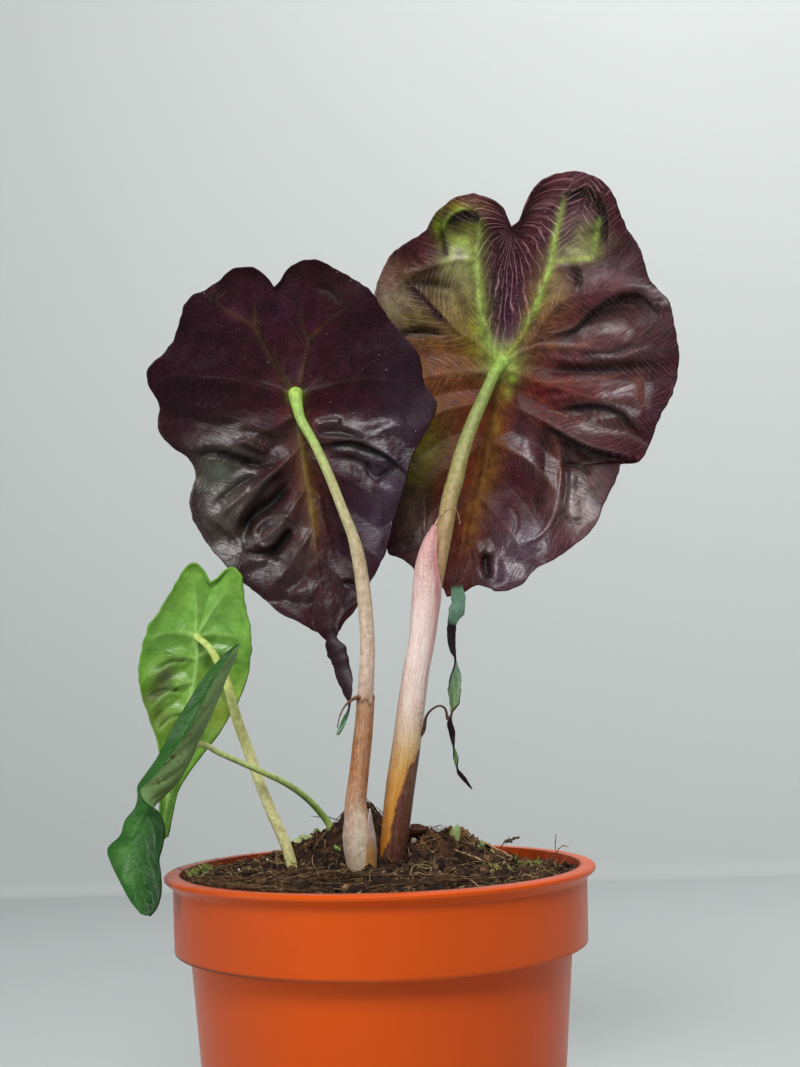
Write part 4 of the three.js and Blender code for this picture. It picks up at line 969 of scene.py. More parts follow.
leftLeaf = {
    "hub": (-17.4, 16, 187.1), "yaw": 0, "tilt": 12, "across": 170, "along": 224, "thickness": 0.5,
    "cup": (220, 260, 300), "hubDip": (1.5, 4), "quilt": (1.9, 4.6, 0.35), "wave": (1.1, 7, 0.6),
    "leftEdge": [
        (-4.5, -25), (-6.5, -28), (-9.5, -30), (-14, -29.5), (-19, -26), (-24, -23), (-26.5, -17.5),
        (-30, -11), (-33.5, -7), (-34, -3.5), (-32, 1.5), (-32, 7), (-29.5, 10.5), (-25, 15), (-24, 17.5),
        (-25, 23), (-24.5, 28), (-21.5, 34), (-16, 40), (-10, 46), (-4.5, 50), (0.5, 52.5), (4, 55),
        (6.3, 57.5),
    ],
    "rightEdge": [
        (-4.5, -25), (-2.5, -27), (-0.5, -30), (4.5, -31.5), (10.5, -29.5), (18, -24), (22, -18.5),
        (27, -12), (29.5, -8), (30.5, -2.5), (33, 2), (31, 8), (27, 15), (25, 22), (22, 31), (19, 40),
        (16, 45), (12.5, 50), (9.8, 53), (8.8, 55.8),
    ],
    "midrib": [(-4.5, -25), (-3, -18), (-1.5, -9), (0, 0), (1.5, 14), (3, 25), (4, 36), (5.5, 48),
        (7.5, 56.5)],
    "veins": [
        [(0, 0), (-6, -10), (-9.3, -16.3), (-12.5, -18.5), (-15.5, -20.3), (-19, -23)],
        [(0, 0), (2.5, -9), (3.3, -13.3), (2.2, -16.5), (1.8, -21)],
        [(3.3, -13.3), (5.5, -15), (8, -17.5), (12, -20)],
        [(0, 0), (-6, -2.5), (-14, -4.5), (-28, -5), (-34, -4)],
        [(0, 0), (7, -2), (18, -4), (31, 0.5)],
        [(0.5, 4), (-4, 6.5), (-17, 12), (-24, 15)],
        [(1.5, 5.5), (6, 9.5), (16, 11), (25, 18)],
        [(1.5, 11.5), (-3, 15.5), (-15, 25), (-23, 29.5)],
        [(2, 14), (7.5, 17.5), (19.5, 25), (24, 27.5)],
        [(2.5, 21), (-5.5, 31.5), (-18, 39)],
        [(3, 24.5), (12.5, 34), (19, 39)],
        [(3.5, 31.5), (-4.5, 42.5), (-10, 46.5)],
        [(4.5, 37.5), (12.5, 45.5), (15, 47)],
        [(5, 43.5), (-1, 51.5)],
        [(-9.3, -16.3), (-9, -18.5), (-9, -22)],
    ],
    "lobeVeins": (1, 2),
    "folds": [([(6, 11.6), (13.5, 11), (17.8, 12.8), (21.5, 14.8), (25, 18)], 1.7, 5)],
    "ridge": (0.36, 0.6),
    "pillows": [
        (20.2, 8.2, 2.7, 1.2, -18, 1.3), (-4.8, 31.4, 1.8, 3.4, 38, 1.5), (1, 36, 2.2, 2.8, 0, 1.1),
        (-8.5, 38.8, 1.5, 0.7, -20, 0.5), (-1, 46, 2.2, 0.8, -15, 0.7), (19.5, 16.8, 2, 1.5, 25, 0.7),
        (21.3, 22, 2.6, 1.8, 10, 1.1), (20.8, 27.5, 1.8, 2.4, 10, 0.8), (17, 33.5, 1.8, 2.6, 10, 0.7),
        (11.8, 42.6, 1.8, 1.3, 10, 0.7), (12.8, 47.5, 1, 1.6, 30, 0.6), (12.5, 18.5, 2.4, 1.6, 25, 0.7),
        (-18.5, 18, 3.4, 2.6, -20, 0.7), (-17, 5.2, 3.6, 1.2, 12, 0.5), (-23, 2, 2.6, 0.6, 8, 0.4),
        (17, -1.5, 6, 1.8, 8, -0.6), (-20, -1.5, 7, 1.6, 0, -0.6), (3.6, 39.8, 1, 0.6, -10, 0.4),
        (-16, 30.8, 1.4, 2, 30, 0.8), (-19.8, 30, 1.5, 1.3, -20, 0.6), (-3.5, 6, 2.4, 1.2, -30, 0.5),
        (8, -22, 4, 3, 30, 0.5), (-16, -10, 5, 4, 0, 0.4),
    ],
    "wrinkles": [
        ([(4, 7), (7, 6.2), (11, 6)], 1.0, 0.95), ([(4.5, 8.7), (10, 8.6), (16, 10.3)], 0.9, -0.8),
        ([(7, 13.2), (13.5, 13.8), (17, 15.2), (22, 16.7)], 1.1, 1.0),
        ([(16, 15.8), (17, 18), (18.6, 19.8)], 0.5, -0.7),
        ([(26, 15), (21.5, 18.2), (17.5, 20.6)], 0.6, -0.8), ([(24.6, 19), (25, 24), (23, 27)], 0.5, -0.5),
        ([(-14, 10), (-10, 11.6), (-6.5, 13.4)], 0.95, 1.25),
        ([(-14, 7.6), (-9, 8.6), (-4, 11)], 1.1, -0.6),
        ([(-25, 13.8), (-19, 13), (-14, 14.6), (-10, 16), (-6, 15.2)], 1.1, -1.3),
        ([(-1.2, 14.6), (-4.5, 17.2), (-8, 20), (-12.5, 25.5), (-15, 30)], 1.35, 1.5),
        ([(-1.8, 20.5), (-6, 25), (-11, 28), (-13.5, 34)], 1.5, -1.4),
        ([(-10.8, 20), (-14.2, 24), (-18.5, 28)], 0.95, 1.0),
        ([(-9.5, 18.2), (-14, 20.6), (-20, 25.5)], 0.8, -0.8),
        ([(-22.5, 21.5), (-19.5, 22.6), (-17, 25)], 0.6, 0.5),
        ([(-22, 28), (-18, 31.5), (-14.5, 35)], 0.8, -0.6),
        ([(-10.8, 33.4), (-10.4, 31), (-8.5, 29), (-5.5, 27.9), (-2, 28.5), (0.6, 30.6)], 0.9, 0.8),
        ([(-9.4, 32.6), (-8.4, 31), (-6.4, 30)], 0.6, -0.5),
        ([(-11, 33), (-8.5, 35.2), (-5, 34.2)], 0.7, 0.7),
        ([(-1.8, 31.2), (-4.4, 35), (-7, 37.4)], 1.0, -1.5),
        ([(-13, 33), (-11.5, 36.5), (-7, 37.2), (-3, 39)], 0.8, -0.7),
        ([(-5, 46.4), (-1, 48.6), (4, 47.8)], 0.9, -0.35),
        ([(10, 43.8), (12.5, 44.4), (15.5, 46)], 0.6, -0.9), ([(4.8, 22), (5.8, 29), (8, 37)], 0.8, 0.6),
        ([(8, 22), (10.5, 30), (13, 38)], 1.3, -0.5),
        ([(-25, 17), (-24, 23), (-22.4, 30), (-18.5, 36)], 0.4, -0.3),
        ([(5, -26), (9, -24.5), (12, -21)], 1.0, -0.6), ([(-26, -14), (-20, -16), (-14, -14)], 1.6, 0.5),
        ([(12, -9), (20, -10), (27, -6)], 1.8, 0.5), ([(-30, 3), (-22, 5.4), (-12, 5.8)], 1.2, -0.4),
    ],
    "uneven": (0.2, 0.07),
    "base": "2c0e18",
    "dabs": [
        (0, -14, 12, 9, 0, "30121c", 0.8), (-24, -8, 7, 12, 0, "27101a", 0.8),
        (24, -10, 8, 10, 0, "230e19", 0.8), (9, 4, 9, 4, 0, "381020", 0.8),
        (-5, 5, 5, 5, 0, "3a1220", 0.75), (8, 22, 8, 12, 0, "300f1c", 0.6),
        (2, 18, 3.6, 16, -5, "4c1c16", 0.85), (-9, 8.8, 5, 1.3, 10, "44301a", 0.55),
        # painted sheen: the grey-green dab at (-18.5, 18)
        (-18, 12.5, 5, 1.4, 0, "33240f", 0.4), (-18.5, 18, 4.2, 3.6, -25, "5c6656", 0.85),
        # painted sheen: the grey dab at (-18, 29)
        (-13, 22, 4.5, 3, -35, "3a2c2c", 0.7), (-18, 29, 4, 5, 20, "5a544c", 0.75),
        # painted highlight: the grey dab at (-4.5, 31.5)
        (-4.5, 31.5, 3.2, 3.6, 20, "47403c", 0.7), (-12, 31, 2, 3.4, 0, "382410", 0.7),
        (-14, 37, 5, 3, 40, "33221c", 0.7), (-6, 42, 6, 5, 30, "2f1519", 0.7),
        (1, 36, 2.6, 3, 0, "3f211c", 0.6), (3, 50, 4, 5, 0, "34121d", 0.6),
        # painted sheen: the grey-purple dab at (17.5, 34)
        (16, 29, 4, 8, 0, "331c2c", 0.7), (17.5, 34, 2, 3, 10, "4e424c", 0.6),
        # painted sheen: the grey-purple dab at (21.5, 24)
        (21.5, 24, 3, 6, 12, "3f3042", 0.65), (27, 5, 5, 8, 0, "2a1728", 0.6),
        # painted highlight: the grey-purple dab at (19.5, 17)
        (19.5, 17, 2.4, 1.8, 25, "453a46", 0.6), (-22, -20, 2, 2, 0, "40222e", 0.5),
        (-14, -19.5, 1.6, 1.4, 30, "5c3040", 0.6), (-4, -20, 5, 4, 0, "39192a", 0.6),
        (6.5, -16, 2, 1.6, 0, "571c34", 0.5), (1, -6, 2, 3.6, 0, "3c2432", 0.6),
        (0, -0.7, 1.2, 0.5, 0, "98c040", 0.95),
    ],
    "strokes": [
        ([(-1.6, -2.4), (-5.6, -9.8), (-8.6, -16)], "1c0a08", 0.28, 0.8),
        ([(1.9, -2), (2.7, -9), (3.5, -12.8)], "1c0a08", 0.2, 0.7),
        ([(-3, -1), (-10, -3.3), (-17, -4.6), (-25, -5)], "5f4038", 0.22, 0.6),
        ([(9, -3), (14, -3.8), (22, -3.6)], "4c2c30", 0.3, 0.35),
        ([(5, 24), (5.8, 30), (8, 36.5)], "4a2620", 0.4, 0.5),
        ([(0.7, 8), (1.5, 14), (2.3, 20), (3.1, 26), (3.8, 31)], "a08a2e", 0.42, 0.9),
        ([(1.7, 9), (2.6, 16), (3.4, 22), (4.2, 28), (4.6, 33)], "6a3818", 0.5, 0.7),
        ([(-0.6, 9), (0.2, 16), (1.1, 22), (2, 28)], "6a3818", 0.45, 0.6),
    ],
    "veinPaint": [
        ([0, 14], "4f3c16", 0.62, 0.9, 1.1), ([1, 2], "4f3818", 0.5, 0.85, 1.1),
        ([5, 7, 9], "4a2c18", 0.5, 0.4, 0.8), ([4, 6, 8, 10, 11, 12, 13], "3c1c1c", 0.4, 0.35, 1.0),
    ],
    "ribPaint": ("7c6222", 0.8, 0.8, 3, 33),
    "hubPaint": ("a6cc44", 1.5, 0.95),
    "hair": (0.04, [(-20, 24, 9, 12, 0, 0.16), (0, -16, 16, 8, 0, 0.05), (2, 26, 4, 14, 0, 0.12)]),
    "hairTone": "70595c",
    "dustTone": "c9b8bc",
    "upperTone": "2c4034",
    "upperVein": "6f8a66",
    "rough": (0.4, 0.5), "shine": 0.82, "coatRough": 0.32, "richness": 1.3, "creaseShade": 0.93,
    "mottleTone": "a898a2",
    "gloss": [
        (-18, 22, 8, 9, 0, 0.9), (-8, 28, 8, 8, 0, 0.9), (-10, 11, 6, 2.5, 15, 0.8),
        (10, 7, 7, 2.4, 0, 0.9), (20, 8.5, 4, 2, -18, 1), (16, 14.5, 9, 3, 15, 0.9),
        (21, 24, 4, 7, 0, 0.65), (-14, 35, 7, 5, 40, 0.7), (-1, 46, 6, 4, 0, 0.6), (12, 44, 5, 5, 0, 0.5),
        (1, 36, 4, 4, 0, 0.7), (26, 2, 4, 6, 0, 0.25),
    ],
}

rightLeaf = {
    "hub": (33.8, 30, 198.5), "yaw": -10, "tilt": 8, "across": 172, "along": 226, "thickness": 0.5,
    "cup": (260, 240, 300), "hubDip": (1.5, 4), "quilt": (2, 5, 0.8), "wave": (1.2, 8, 2.1),
    "leftEdge": [
        (4, -33), (3, -35.5), (2, -38), (0, -40), (-2.5, -41.5), (-5.5, -42.3), (-11, -40), (-15, -37.5),
        (-17, -35), (-21.5, -31.5), (-27, -27.5), (-30, -22.5), (-31, -18), (-32.5, -9), (-33, 2),
        (-32, 15), (-31, 28), (-30.5, 40), (-29.5, 46), (-27, 47), (-24.5, 48.5), (-21.5, 52.5),
        (-17, 54.5), (-15, 57.3),
    ],
    "rightEdge": [
        (4, -33), (6.5, -34.5), (8.5, -38.5), (11.5, -42.5), (15, -44.5), (20, -44.9), (26.2, -41.4),
        (29.5, -37.5), (31.5, -32), (35, -24), (37, -17.5), (39.5, -14), (41.5, -11), (42, -5.5), (43, 2),
        (41.5, 9.5), (38, 16), (35.5, 22), (33, 26.5), (30.5, 27), (28, 27), (27, 30), (24, 35.5),
        (21.5, 41), (17, 45.5), (10, 50), (6, 52), (3, 55), (-3, 56.5), (-8, 55.2), (-11.5, 57),
    ],
    "midrib": [
        (4, -33), (2.5, -23), (1, -11), (0, 0), (-1.5, 9), (-4, 19), (-6, 29), (-8.5, 39), (-11, 49),
        (-13.3, 57.2),
    ],
    "veins": [
        [(0, 0), (-3.5, -5.5), (-4.7, -12), (-4.5, -19), (-5.3, -26), (-3.7, -33), (-5.5, -39)],
        [(-5.3, -26), (-11.5, -26.3), (-19, -24), (-25, -21)],
        [(0, 0), (5, -6), (10.7, -17), (13.5, -24), (16, -34), (19.5, -41.5)],
        [(13, -22.3), (24, -23.4), (26, -31.5)],
        [(7, -4.5), (16, -14), (30, -15.5), (38, -14.5)],
        [(0, 0), (-6, -5.5), (-14, -11.5), (-23, -22.5)],
        [(-1, 3), (-9.5, 1.5), (-23.5, 3.5), (-32, 7)],
        [(0, 0), (8.5, -3.5), (24.5, -1.5), (41, 0.5)],
        [(0, 1), (10.5, 6), (28.5, 12.5), (38, 15.5)],
        [(-1, 7.5), (10, 17), (23, 23.5), (29, 26)],
        [(-2, 9), (-16, 11.5), (-31, 18.5)],
        [(-4, 19), (-18, 28), (-30.5, 39)],
        [(-4, 19), (8, 27.5), (14, 38), (16.5, 45.5)],
        [(-7.5, 34), (-13, 39), (-21, 49.5)],
        [(-7.3, 33), (1.5, 44.5), (4, 52)],
        [(-10, 44), (-5, 54.5)],
    ],
    "lobeVeins": (1, 3),
    "folds": [
        ([(9, 15.5), (15.5, 20), (21.5, 23.5), (29, 26)], 4.2, 7),
        ([(13.5, 12.2), (22.5, 12.4), (28.5, 14.6), (32, 19)], 2.1, 5),
        ([(12, -5.6), (19, -7.5), (22.5, -10.5), (27, -13), (31, -14), (35, -13.3), (37, -11)], 1.9, 5),
        ([(-12.4, -34.6), (-11.3, -36), (-8, -37.6), (-4.6, -37), (-3, -34.6)], 1.8, 4.5),
        ([(16.6, -38.4), (18.5, -39.7), (22, -40.2), (25.6, -37.8), (27.6, -33), (27.2, -25.4)], 1.9, 5),
        ([(-23.5, -22.8), (-18, -17), (-12.8, -10.8)], 1.3, 4),
    ],
    "ridge": (0.6, 0.75),
    "pillows": [
        (24.2, 16.4, 4.2, 1.5, 6, 1.9), (28.8, 8.8, 3.2, 0.9, -4, 0.8), (26.5, -5.4, 4.2, 1.6, -12, 1.0),
        (26.5, -19, 4.6, 2.2, -10, 1.1), (14.8, -18.6, 2.6, 2.6, 10, 0.8), (11, -12, 2.8, 4.5, 28, 0.6),
        (-25, -16.5, 3.4, 2.8, 20, 1.2), (-19, -13, 3, 2.2, 30, 0.5), (-28, -24, 1.8, 2.4, 20, 0.8),
        (-9.5, -20, 3, 5, 0, 0.6), (-16.5, 8, 6, 4, 0, 0.4), (-22.8, 37.5, 1.8, 4, 6, 1.0),
        (15.4, 29.4, 1.5, 1.9, -10, 0.9), (17, 36, 3, 2.4, 20, 0.8), (15.5, 41.8, 3, 1.8, -30, 0.7),
        (21, 39.5, 2, 2, 0, 0.6), (4, 44.5, 3.6, 2.6, -20, 0.7), (-2.8, 50, 1.5, 3, 12, 1.4),
        (-0.5, 53, 2.6, 1.6, 0, 0.7), (-2.6, 38, 2.6, 3.6, 10, 0.7), (5.6, 22, 2.2, 7, -22, 0.9),
        (38.6, -13.5, 1.8, 1.2, 20, 0.9), (30, -28, 2.4, 3, 10, 0.7), (33.5, -6, 2.6, 1.4, -10, -0.8),
        (19, 26.6, 3, 1.2, 10, -0.9), (36, 8, 2.6, 5, 8, 0.5), (-7, -5, 3, 3, 0, 0.4),
        (-19.5, -29.5, 2.4, 2, -20, -0.6),
    ],
    "wrinkles": [
        ([(12.4, 19.4), (17, 21.8), (21.5, 25.6)], 0.9, 1.2),
        ([(13.5, 26.4), (18, 27.2), (20.4, 30)], 0.6, -0.9),
        ([(12, 18.5), (13.2, 24), (13.2, 30), (12.4, 35), (11.2, 38.6), (9.8, 41.6), (7, 44.2),
            (3.5, 45.6)], 0.55, 0.4),
        ([(14.6, 20), (14.8, 27), (14.2, 34), (12.6, 40), (9, 44)], 0.9, -0.7),
        ([(13, 38.4), (15.4, 40.6), (18.5, 41)], 0.5, -0.7),
        ([(8.6, 16), (9.6, 24), (8.6, 31), (6, 38)], 1.4, -0.6),
        ([(-5.6, 47.6), (-6, 50.5), (-5, 53.6)], 1.0, -1.9),
        ([(20.5, -0.6), (28, 1), (37.5, -0.8)], 0.9, 0.9), ([(19, -0.9), (27, -0.4), (34, -2)], 0.6, -0.7),
        ([(10, 2.4), (22, 3), (40, 4)], 1.1, -0.9), ([(11, -0.8), (17, 0.4), (23, 2)], 0.6, 0.5),
        ([(24, -10.6), (29, -11.8), (34.5, -10.4)], 0.6, 0.8),
        ([(18.4, -23), (20.2, -20), (19.6, -16.6)], 0.9, -1.0), ([(8, 7), (14, 7.2), (21, 9.6)], 0.8, 0.5),
        ([(10, 10.4), (17, 9.8), (25, 11)], 0.8, 0.4),
        ([(-26.5, -8.8), (-20, -9.6), (-14, -8.2)], 0.9, -0.9),
        ([(-22, -29.8), (-19.8, -27.5), (-18, -25)], 0.5, -0.8),
        ([(-13.3, -35), (-12.9, -31), (-12.3, -27)], 0.6, -1.0),
        ([(-25, -23.4), (-20, -24.2), (-14, -26)], 0.9, 0.7),
        ([(-23, -21.4), (-17, -21.2), (-11, -20)], 1.1, -0.7), ([(-20.4, 33), (-20.9, 42)], 0.4, 0.5),
        ([(2.2, 3), (4, 12), (3.6, 22)], 1.0, -0.3), ([(0.4, 36), (2, 40), (1, 44)], 0.4, 0.4),
        ([(36, -16.6), (38, -15.4), (41.5, -15.6)], 0.4, -0.8),
        ([(36.4, -12), (39, -11.6), (41.5, -12)], 0.4, -0.7), ([(34.6, 6), (34.4, 12), (33, 17)], 0.7, 0.5),
        ([(3, -34), (1.8, -26), (0.6, -14), (0, -3)], 1.6, -0.3),
    ],
    "uneven": (0.2, 0.07),
    "base": "3c121a",
    "dabs": [
        (-14, 3, 11, 9, 0, "7c4e2e", 0.95), (-19, -5, 6, 4, 0, "765032", 0.9),
        (-8, -5, 4, 4, 0, "78502c", 0.8), (-20, 25, 5, 8, 15, "62601c", 0.9),
        (-23, 20, 3, 5, 0, "5a581c", 0.8), (-17, 33, 2.2, 8, 8, "541f1a", 0.85),
        # painted sheen: the grey dab at (-23, 38)
        (-23, 38, 2.6, 5, 0, "6a5248", 0.8), (-24, 46, 6, 3, 0, "381820", 0.8),
        (-5, 14, 4, 8, 15, "8a3a1c", 0.85), (-8, 30, 3, 12, 12, "7f3a1e", 0.85),
        (-10.5, 46, 2.6, 9, 8, "6a2c1c", 0.85), (8, 6, 8, 6, 20, "6c241c", 0.9),
        (14, 12, 8, 4, 15, "5e1f1c", 0.8), (6, 24, 4.5, 10, 8, "461828", 0.7),
        # painted sheen: the purple-grey streak at (5.6, 22)
        (5.6, 22, 2, 6, -22, "6a4652", 0.55), (4, 34, 3, 8, 0, "481820", 0.8),
        (11, 30, 1.6, 8, 0, "5c2018", 0.7), (-3.6, 24, 1.8, 8, 10, "7a5a24", 0.55),
        # painted highlight: the pale mauve dab at (17.5, 37)
        (17.5, 37, 4.6, 5.4, 30, "7d6a64", 0.85), (20, 32, 5, 2.6, 0, "563a3c", 0.6),
        (17, 44, 6, 2, -30, "5c3038", 0.7), (22, 28, 4, 2.2, 0, "3c171a", 0.8),
        # painted highlights: the grey-purple dabs at (4, 45) and (-1, 53)
        (4, 45, 4, 3.5, -20, "4c3e50", 0.85), (-1, 53, 4, 2.5, 0, "584654", 0.85),
        # painted sheen: the grey dab at (-3, 38); painted shade: the near-black dab in the deep hole at
        # (-6, 50)
        (-3, 38, 2.6, 3.6, 0, "503e48", 0.6), (-6, 50, 2, 3, 0, "260d12", 0.8),
        # painted highlight: the grey-mauve dab at (25, -5)
        (-12, 54, 2, 3, 0, "4a1c18", 0.7), (25, -5, 6, 2.2, -8, "6a4648", 0.75),
        # painted highlights: the grey-mauve dabs at (15, -0.5) and (30, 0.6)
        (15, -0.5, 5, 1.4, 0, "643a40", 0.6), (30, 0.6, 7, 1, -6, "6a4c52", 0.6),
        # painted shade: the dark bands in the creases at (28, -1) and (26, 3.2)
        (28, -1, 6, 0.7, -6, "3f1c26", 0.6), (26, 3.2, 12, 1.1, 2, "3a1018", 0.8),
        # painted highlight: the grey-mauve dab at (29, 8.8)
        (20, 9, 8, 2, 8, "682a30", 0.6), (29, 8.8, 3, 0.8, -3, "70525a", 0.55),
        # painted shadow: the near-black band under the fold at (24, 12.4)
        (24, 12.4, 8, 1.2, 6, "2a0b10", 0.75), (25, 19.5, 5, 1.6, 10, "4e1e20", 0.7),
        (38.5, 0, 3, 14, 0, "361420", 0.85), (37, 14, 4, 8, 0, "351220", 0.85),
        (33.6, 9, 0.9, 3, -5, "7a4a34", 0.6), (31, -25, 5, 7, 0, "33121a", 0.9),
        (28, -38, 5, 4, 0, "431a20", 0.8), (36, -18, 3, 5, 0, "32121a", 0.85),
        (11.5, -12, 3.6, 6, 25, "8c7444", 0.85), (14.5, -18, 3.4, 3, 0, "948460", 0.8),
        # painted highlight: the grey-mauve dab at (26.5, -19)
        (26.5, -19, 5, 2.6, -8, "786064", 0.9), (19.6, -20, 1.2, 2.8, 8, "432226", 0.8),
        (14, -8.5, 5, 2, -20, "58221f", 0.7), (24, -15, 7, 1.6, -18, "54202a", 0.7),
        (20.5, -31, 4, 6, 0, "6a4a58", 0.85), (20, -26, 4.2, 1.5, -4, "b0b286", 0.9),
        (24.8, -28.5, 1.2, 3.2, 10, "7c9240", 0.75), (21.6, -28.6, 2.6, 3, 0, "87924e", 0.6),
        # painted shade: the near-black dabs under the right lobe's curled margin at (22, -38.6) and (26,
        # -34)
        (22, -38.6, 3.4, 1.5, 8, "260f10", 0.9), (26, -34, 1.2, 4, -8, "2a1214", 0.85),
        (17, -44, 7, 2, 0, "4e242c", 0.7), (-6, -40.5, 7, 1.8, 0, "54281e", 0.8),
        (-8.4, -38.8, 3.6, 0.7, 0, "7c7628", 0.7), (-9, -30, 3.2, 4.4, 0, "a9c262", 0.95),
        (-9.6, -27.6, 1.9, 1.6, 0, "d0dcb4", 0.9), (-8.4, -34.2, 2.8, 1.5, 0, "575a20", 0.85),
        # painted shade: the near-black dab under the left lobe's curled margin at (-7.8, -36.6)
        (-7.8, -36.6, 3.2, 0.7, 0, "24120a", 0.9), (-17, -30, 3.4, 3, -10, "431a1d", 0.9),
        # painted shade: the dark line in the crease at (-13.1, -31)
        (-13.1, -31, 0.5, 3.8, 5, "240e0e", 0.85), (-14, -34.8, 0.9, 1.5, 0, "7a9c28", 0.7),
        # painted highlight: the pale pink dab on the left margin at (-28, -24)
        (-24, -24, 4, 1.8, 10, "76543a", 0.8), (-28, -24, 1.8, 3, 20, "967668", 0.7),
        (-17, -21, 4, 1.6, 10, "40400f", 0.8), (-25, -16, 3.6, 3.4, 30, "a39a7a", 0.85),
        # painted shadow: the dark band at (-24, -9.4)
        (-20, -13, 4, 2.6, 0, "7c7248", 0.85), (-24, -9.4, 4.4, 0.8, -5, "34260e", 0.75),
        (-9.6, -20, 3.4, 5.6, 0, "98966a", 0.9), (-10, -13, 4, 4, 0, "8c7c50", 0.85),
        (-7, -8, 1.8, 4, 0, "867c2c", 0.8), (1.5, -17, 3.4, 12, 0, "3f1f36", 0.95),
        (2.4, -27, 2.6, 6, 0, "30101e", 0.85), (1, -6.4, 2.6, 3, 0, "54344c", 0.8),
        (2.2, 3.8, 0.8, 0.8, 0, "b4dc50", 0.95), (0.7, 7.5, 0.8, 1.2, 0, "bede60", 0.95),
        (-2.7, 16.4, 0.55, 0.7, 0, "c8ae68", 0.85), (-2.4, 13.9, 0.4, 0.4, 0, "c4a860", 0.8),
        (-1.2, 9, 1, 4.4, 12, "b07030", 0.6),
    ],
    "strokes": [
        ([(12, 18.5), (13.2, 24), (13.2, 31)], "8a4a1c", 0.4, 0.55),
        ([(12.8, 31), (12, 36), (10.8, 39.4), (9.4, 42), (7, 44.2)], "bfa6a8", 0.24, 0.85),
        ([(-20.5, 34), (-20.9, 42)], "b89c94", 0.22, 0.75),
        ([(0.5, 36.5), (2, 40), (1, 44), (-1, 46.5)], "9a848a", 0.25, 0.55),
        ([(4.5, -4), (10.5, -3.4), (20, -3.2), (26, -4)], "a8704c", 0.3, 0.5),
        ([(4, 4.6), (12, 5.4), (19, 5.6), (30, 5)], "9a5a2a", 0.28, 0.7),
        ([(-4, 3), (-10, 2), (-16, 2.4)], "b08a50", 0.5, 0.45),
        ([(3, 6.5), (9, 9.6), (14, 14)], "a0602e", 0.3, 0.5),
        ([(-22.6, -21.4), (-18.4, -16.6), (-13.2, -10.4)], "8a3c4a", 0.55, 0.75),
        # painted shadow: the near-black line along the fold of the slit
        ([(-23.2, -22.6), (-18, -17), (-12.8, -11)], "14060a", 0.22, 0.95),
        ([(-22.2, -20.2), (-19, -16.2), (-15.6, -12)], "c0a098", 0.25, 0.5),
        # painted shadows: the near-black lines under the three folds
        ([(11, -5.8), (19, -7.6), (22.5, -10.6), (27, -13), (34.8, -13.2)], "14060a", 0.6, 0.85),
        ([(14, 12.4), (22.5, 12.6), (28.5, 14.8), (31.6, 18)], "14060a", 0.6, 0.85),
        ([(10.6, 16.4), (15.5, 20.2), (21.5, 23.8), (29, 26)], "14060a", 0.7, 0.9),
        ([(5, -8), (9, -13), (11, -17.6), (13.6, -24), (15.2, -31), (17.8, -39.4)], "a4c450", 0.95, 0.9),
        ([(9.6, -14.4), (11.6, -19), (13.6, -24), (15.2, -31), (17.6, -38.6)], "bcd674", 0.34, 0.75),
        ([(-1.6, -4.2), (-3.6, -10), (-5, -17), (-4.9, -24), (-4.4, -30), (-3.4, -35.4)], "bcd674", 0.45,
            0.75),
        ([(14, -24.2), (20, -24.2), (25, -23.8)], "b4c860", 0.6, 0.85),
        ([(24.2, -24.6), (25.2, -30), (26.6, -34)], "9cc04a", 0.7, 0.85),
        ([(-12.8, -29.6), (-13, -33.4), (-11.6, -36.4), (-8, -38.1), (-5, -37.6)], "93b440", 0.55, 0.8),
        ([(-3, 11), (-5.6, 22), (-8.4, 32), (-10.4, 42)], "a05a26", 0.3, 0.6),
        ([(-1.8, 11), (-4.2, 22), (-6.6, 31), (-8, 38)], "985426", 0.25, 0.5),
        ([(-4.2, 13), (-7, 24), (-9.8, 36), (-12, 48)], "b06a2c", 0.35, 0.6),
        ([(-0.8, 12), (-2.6, 20), (-4, 27)], "8a6a26", 0.3, 0.5),
        ([(35.8, -14.6), (38.6, -14.2), (41, -14.8)], "a08890", 0.4, 0.7),
        ([(36.6, -12.6), (41, -13)], "8c6c70", 0.3, 0.6),
    ],
    "veinPaint": [
        ([0], "9cc04a", 1.4, 1.0, 1.0), ([2], "9a9c3c", 0.9, 0.85, 0.6), ([1], "98a24c", 0.9, 0.7, 0.5),
        ([5], "7c6a28", 0.7, 0.4, 0.8), ([4], "6e3a26", 0.6, 0.5, 0.9),
        ([6, 10, 11, 13], "86582a", 0.6, 0.45, 1.0), ([7, 8], "84462e", 0.5, 0.5, 0.85),
        ([9, 12], "7c4622", 0.6, 0.5, 0.9), ([14, 15], "6a3020", 0.5, 0.4, 0.9),
    ],
    "ribPaint": ("9a6a2c", 1.2, 0.85, 1, 44),
    "hubPaint": ("b8d462", 4.4, 1.0),
    "hair": (0.12, [
        (2, -22, 4, 12, 0, 0.8), (12, -36, 6, 7, 0, 0.75), (24, -40, 7, 5, 0, 0.65),
        (-6, -40, 8, 3, 0, 0.65), (20, -30, 4, 6, 0, 0.5), (-1, -34, 3, 4, 0, 0.4),
        (30, 0, 12, 10, 0, 0.12), (8, 46, 8, 5, 0, 0.2), (-16, -16, 8, 8, 20, 0.5), (-12, 2, 9, 6, 0, 0.3),
        (12, -14, 4, 7, 25, 0.4), (-10, -28, 3, 4, 0, 0.4),
    ]),
    "hairTone": "a47c7c",
    "dustTone": None,
    "upperTone": "2f4636",
    "upperVein": "769468",
    "rough": (0.4, 0.5), "shine": 1.0, "coatRough": 0.29, "richness": 1.25, "creaseShade": 0.93,
    "mottleTone": "a090a0",
    "gloss": [
        (27, -6, 8, 3, -8, 1), (29, 1, 8, 1.8, -3, 0.95), (24, 16, 7, 2.6, 8, 1), (29, 9, 5, 1.6, 0, 0.9),
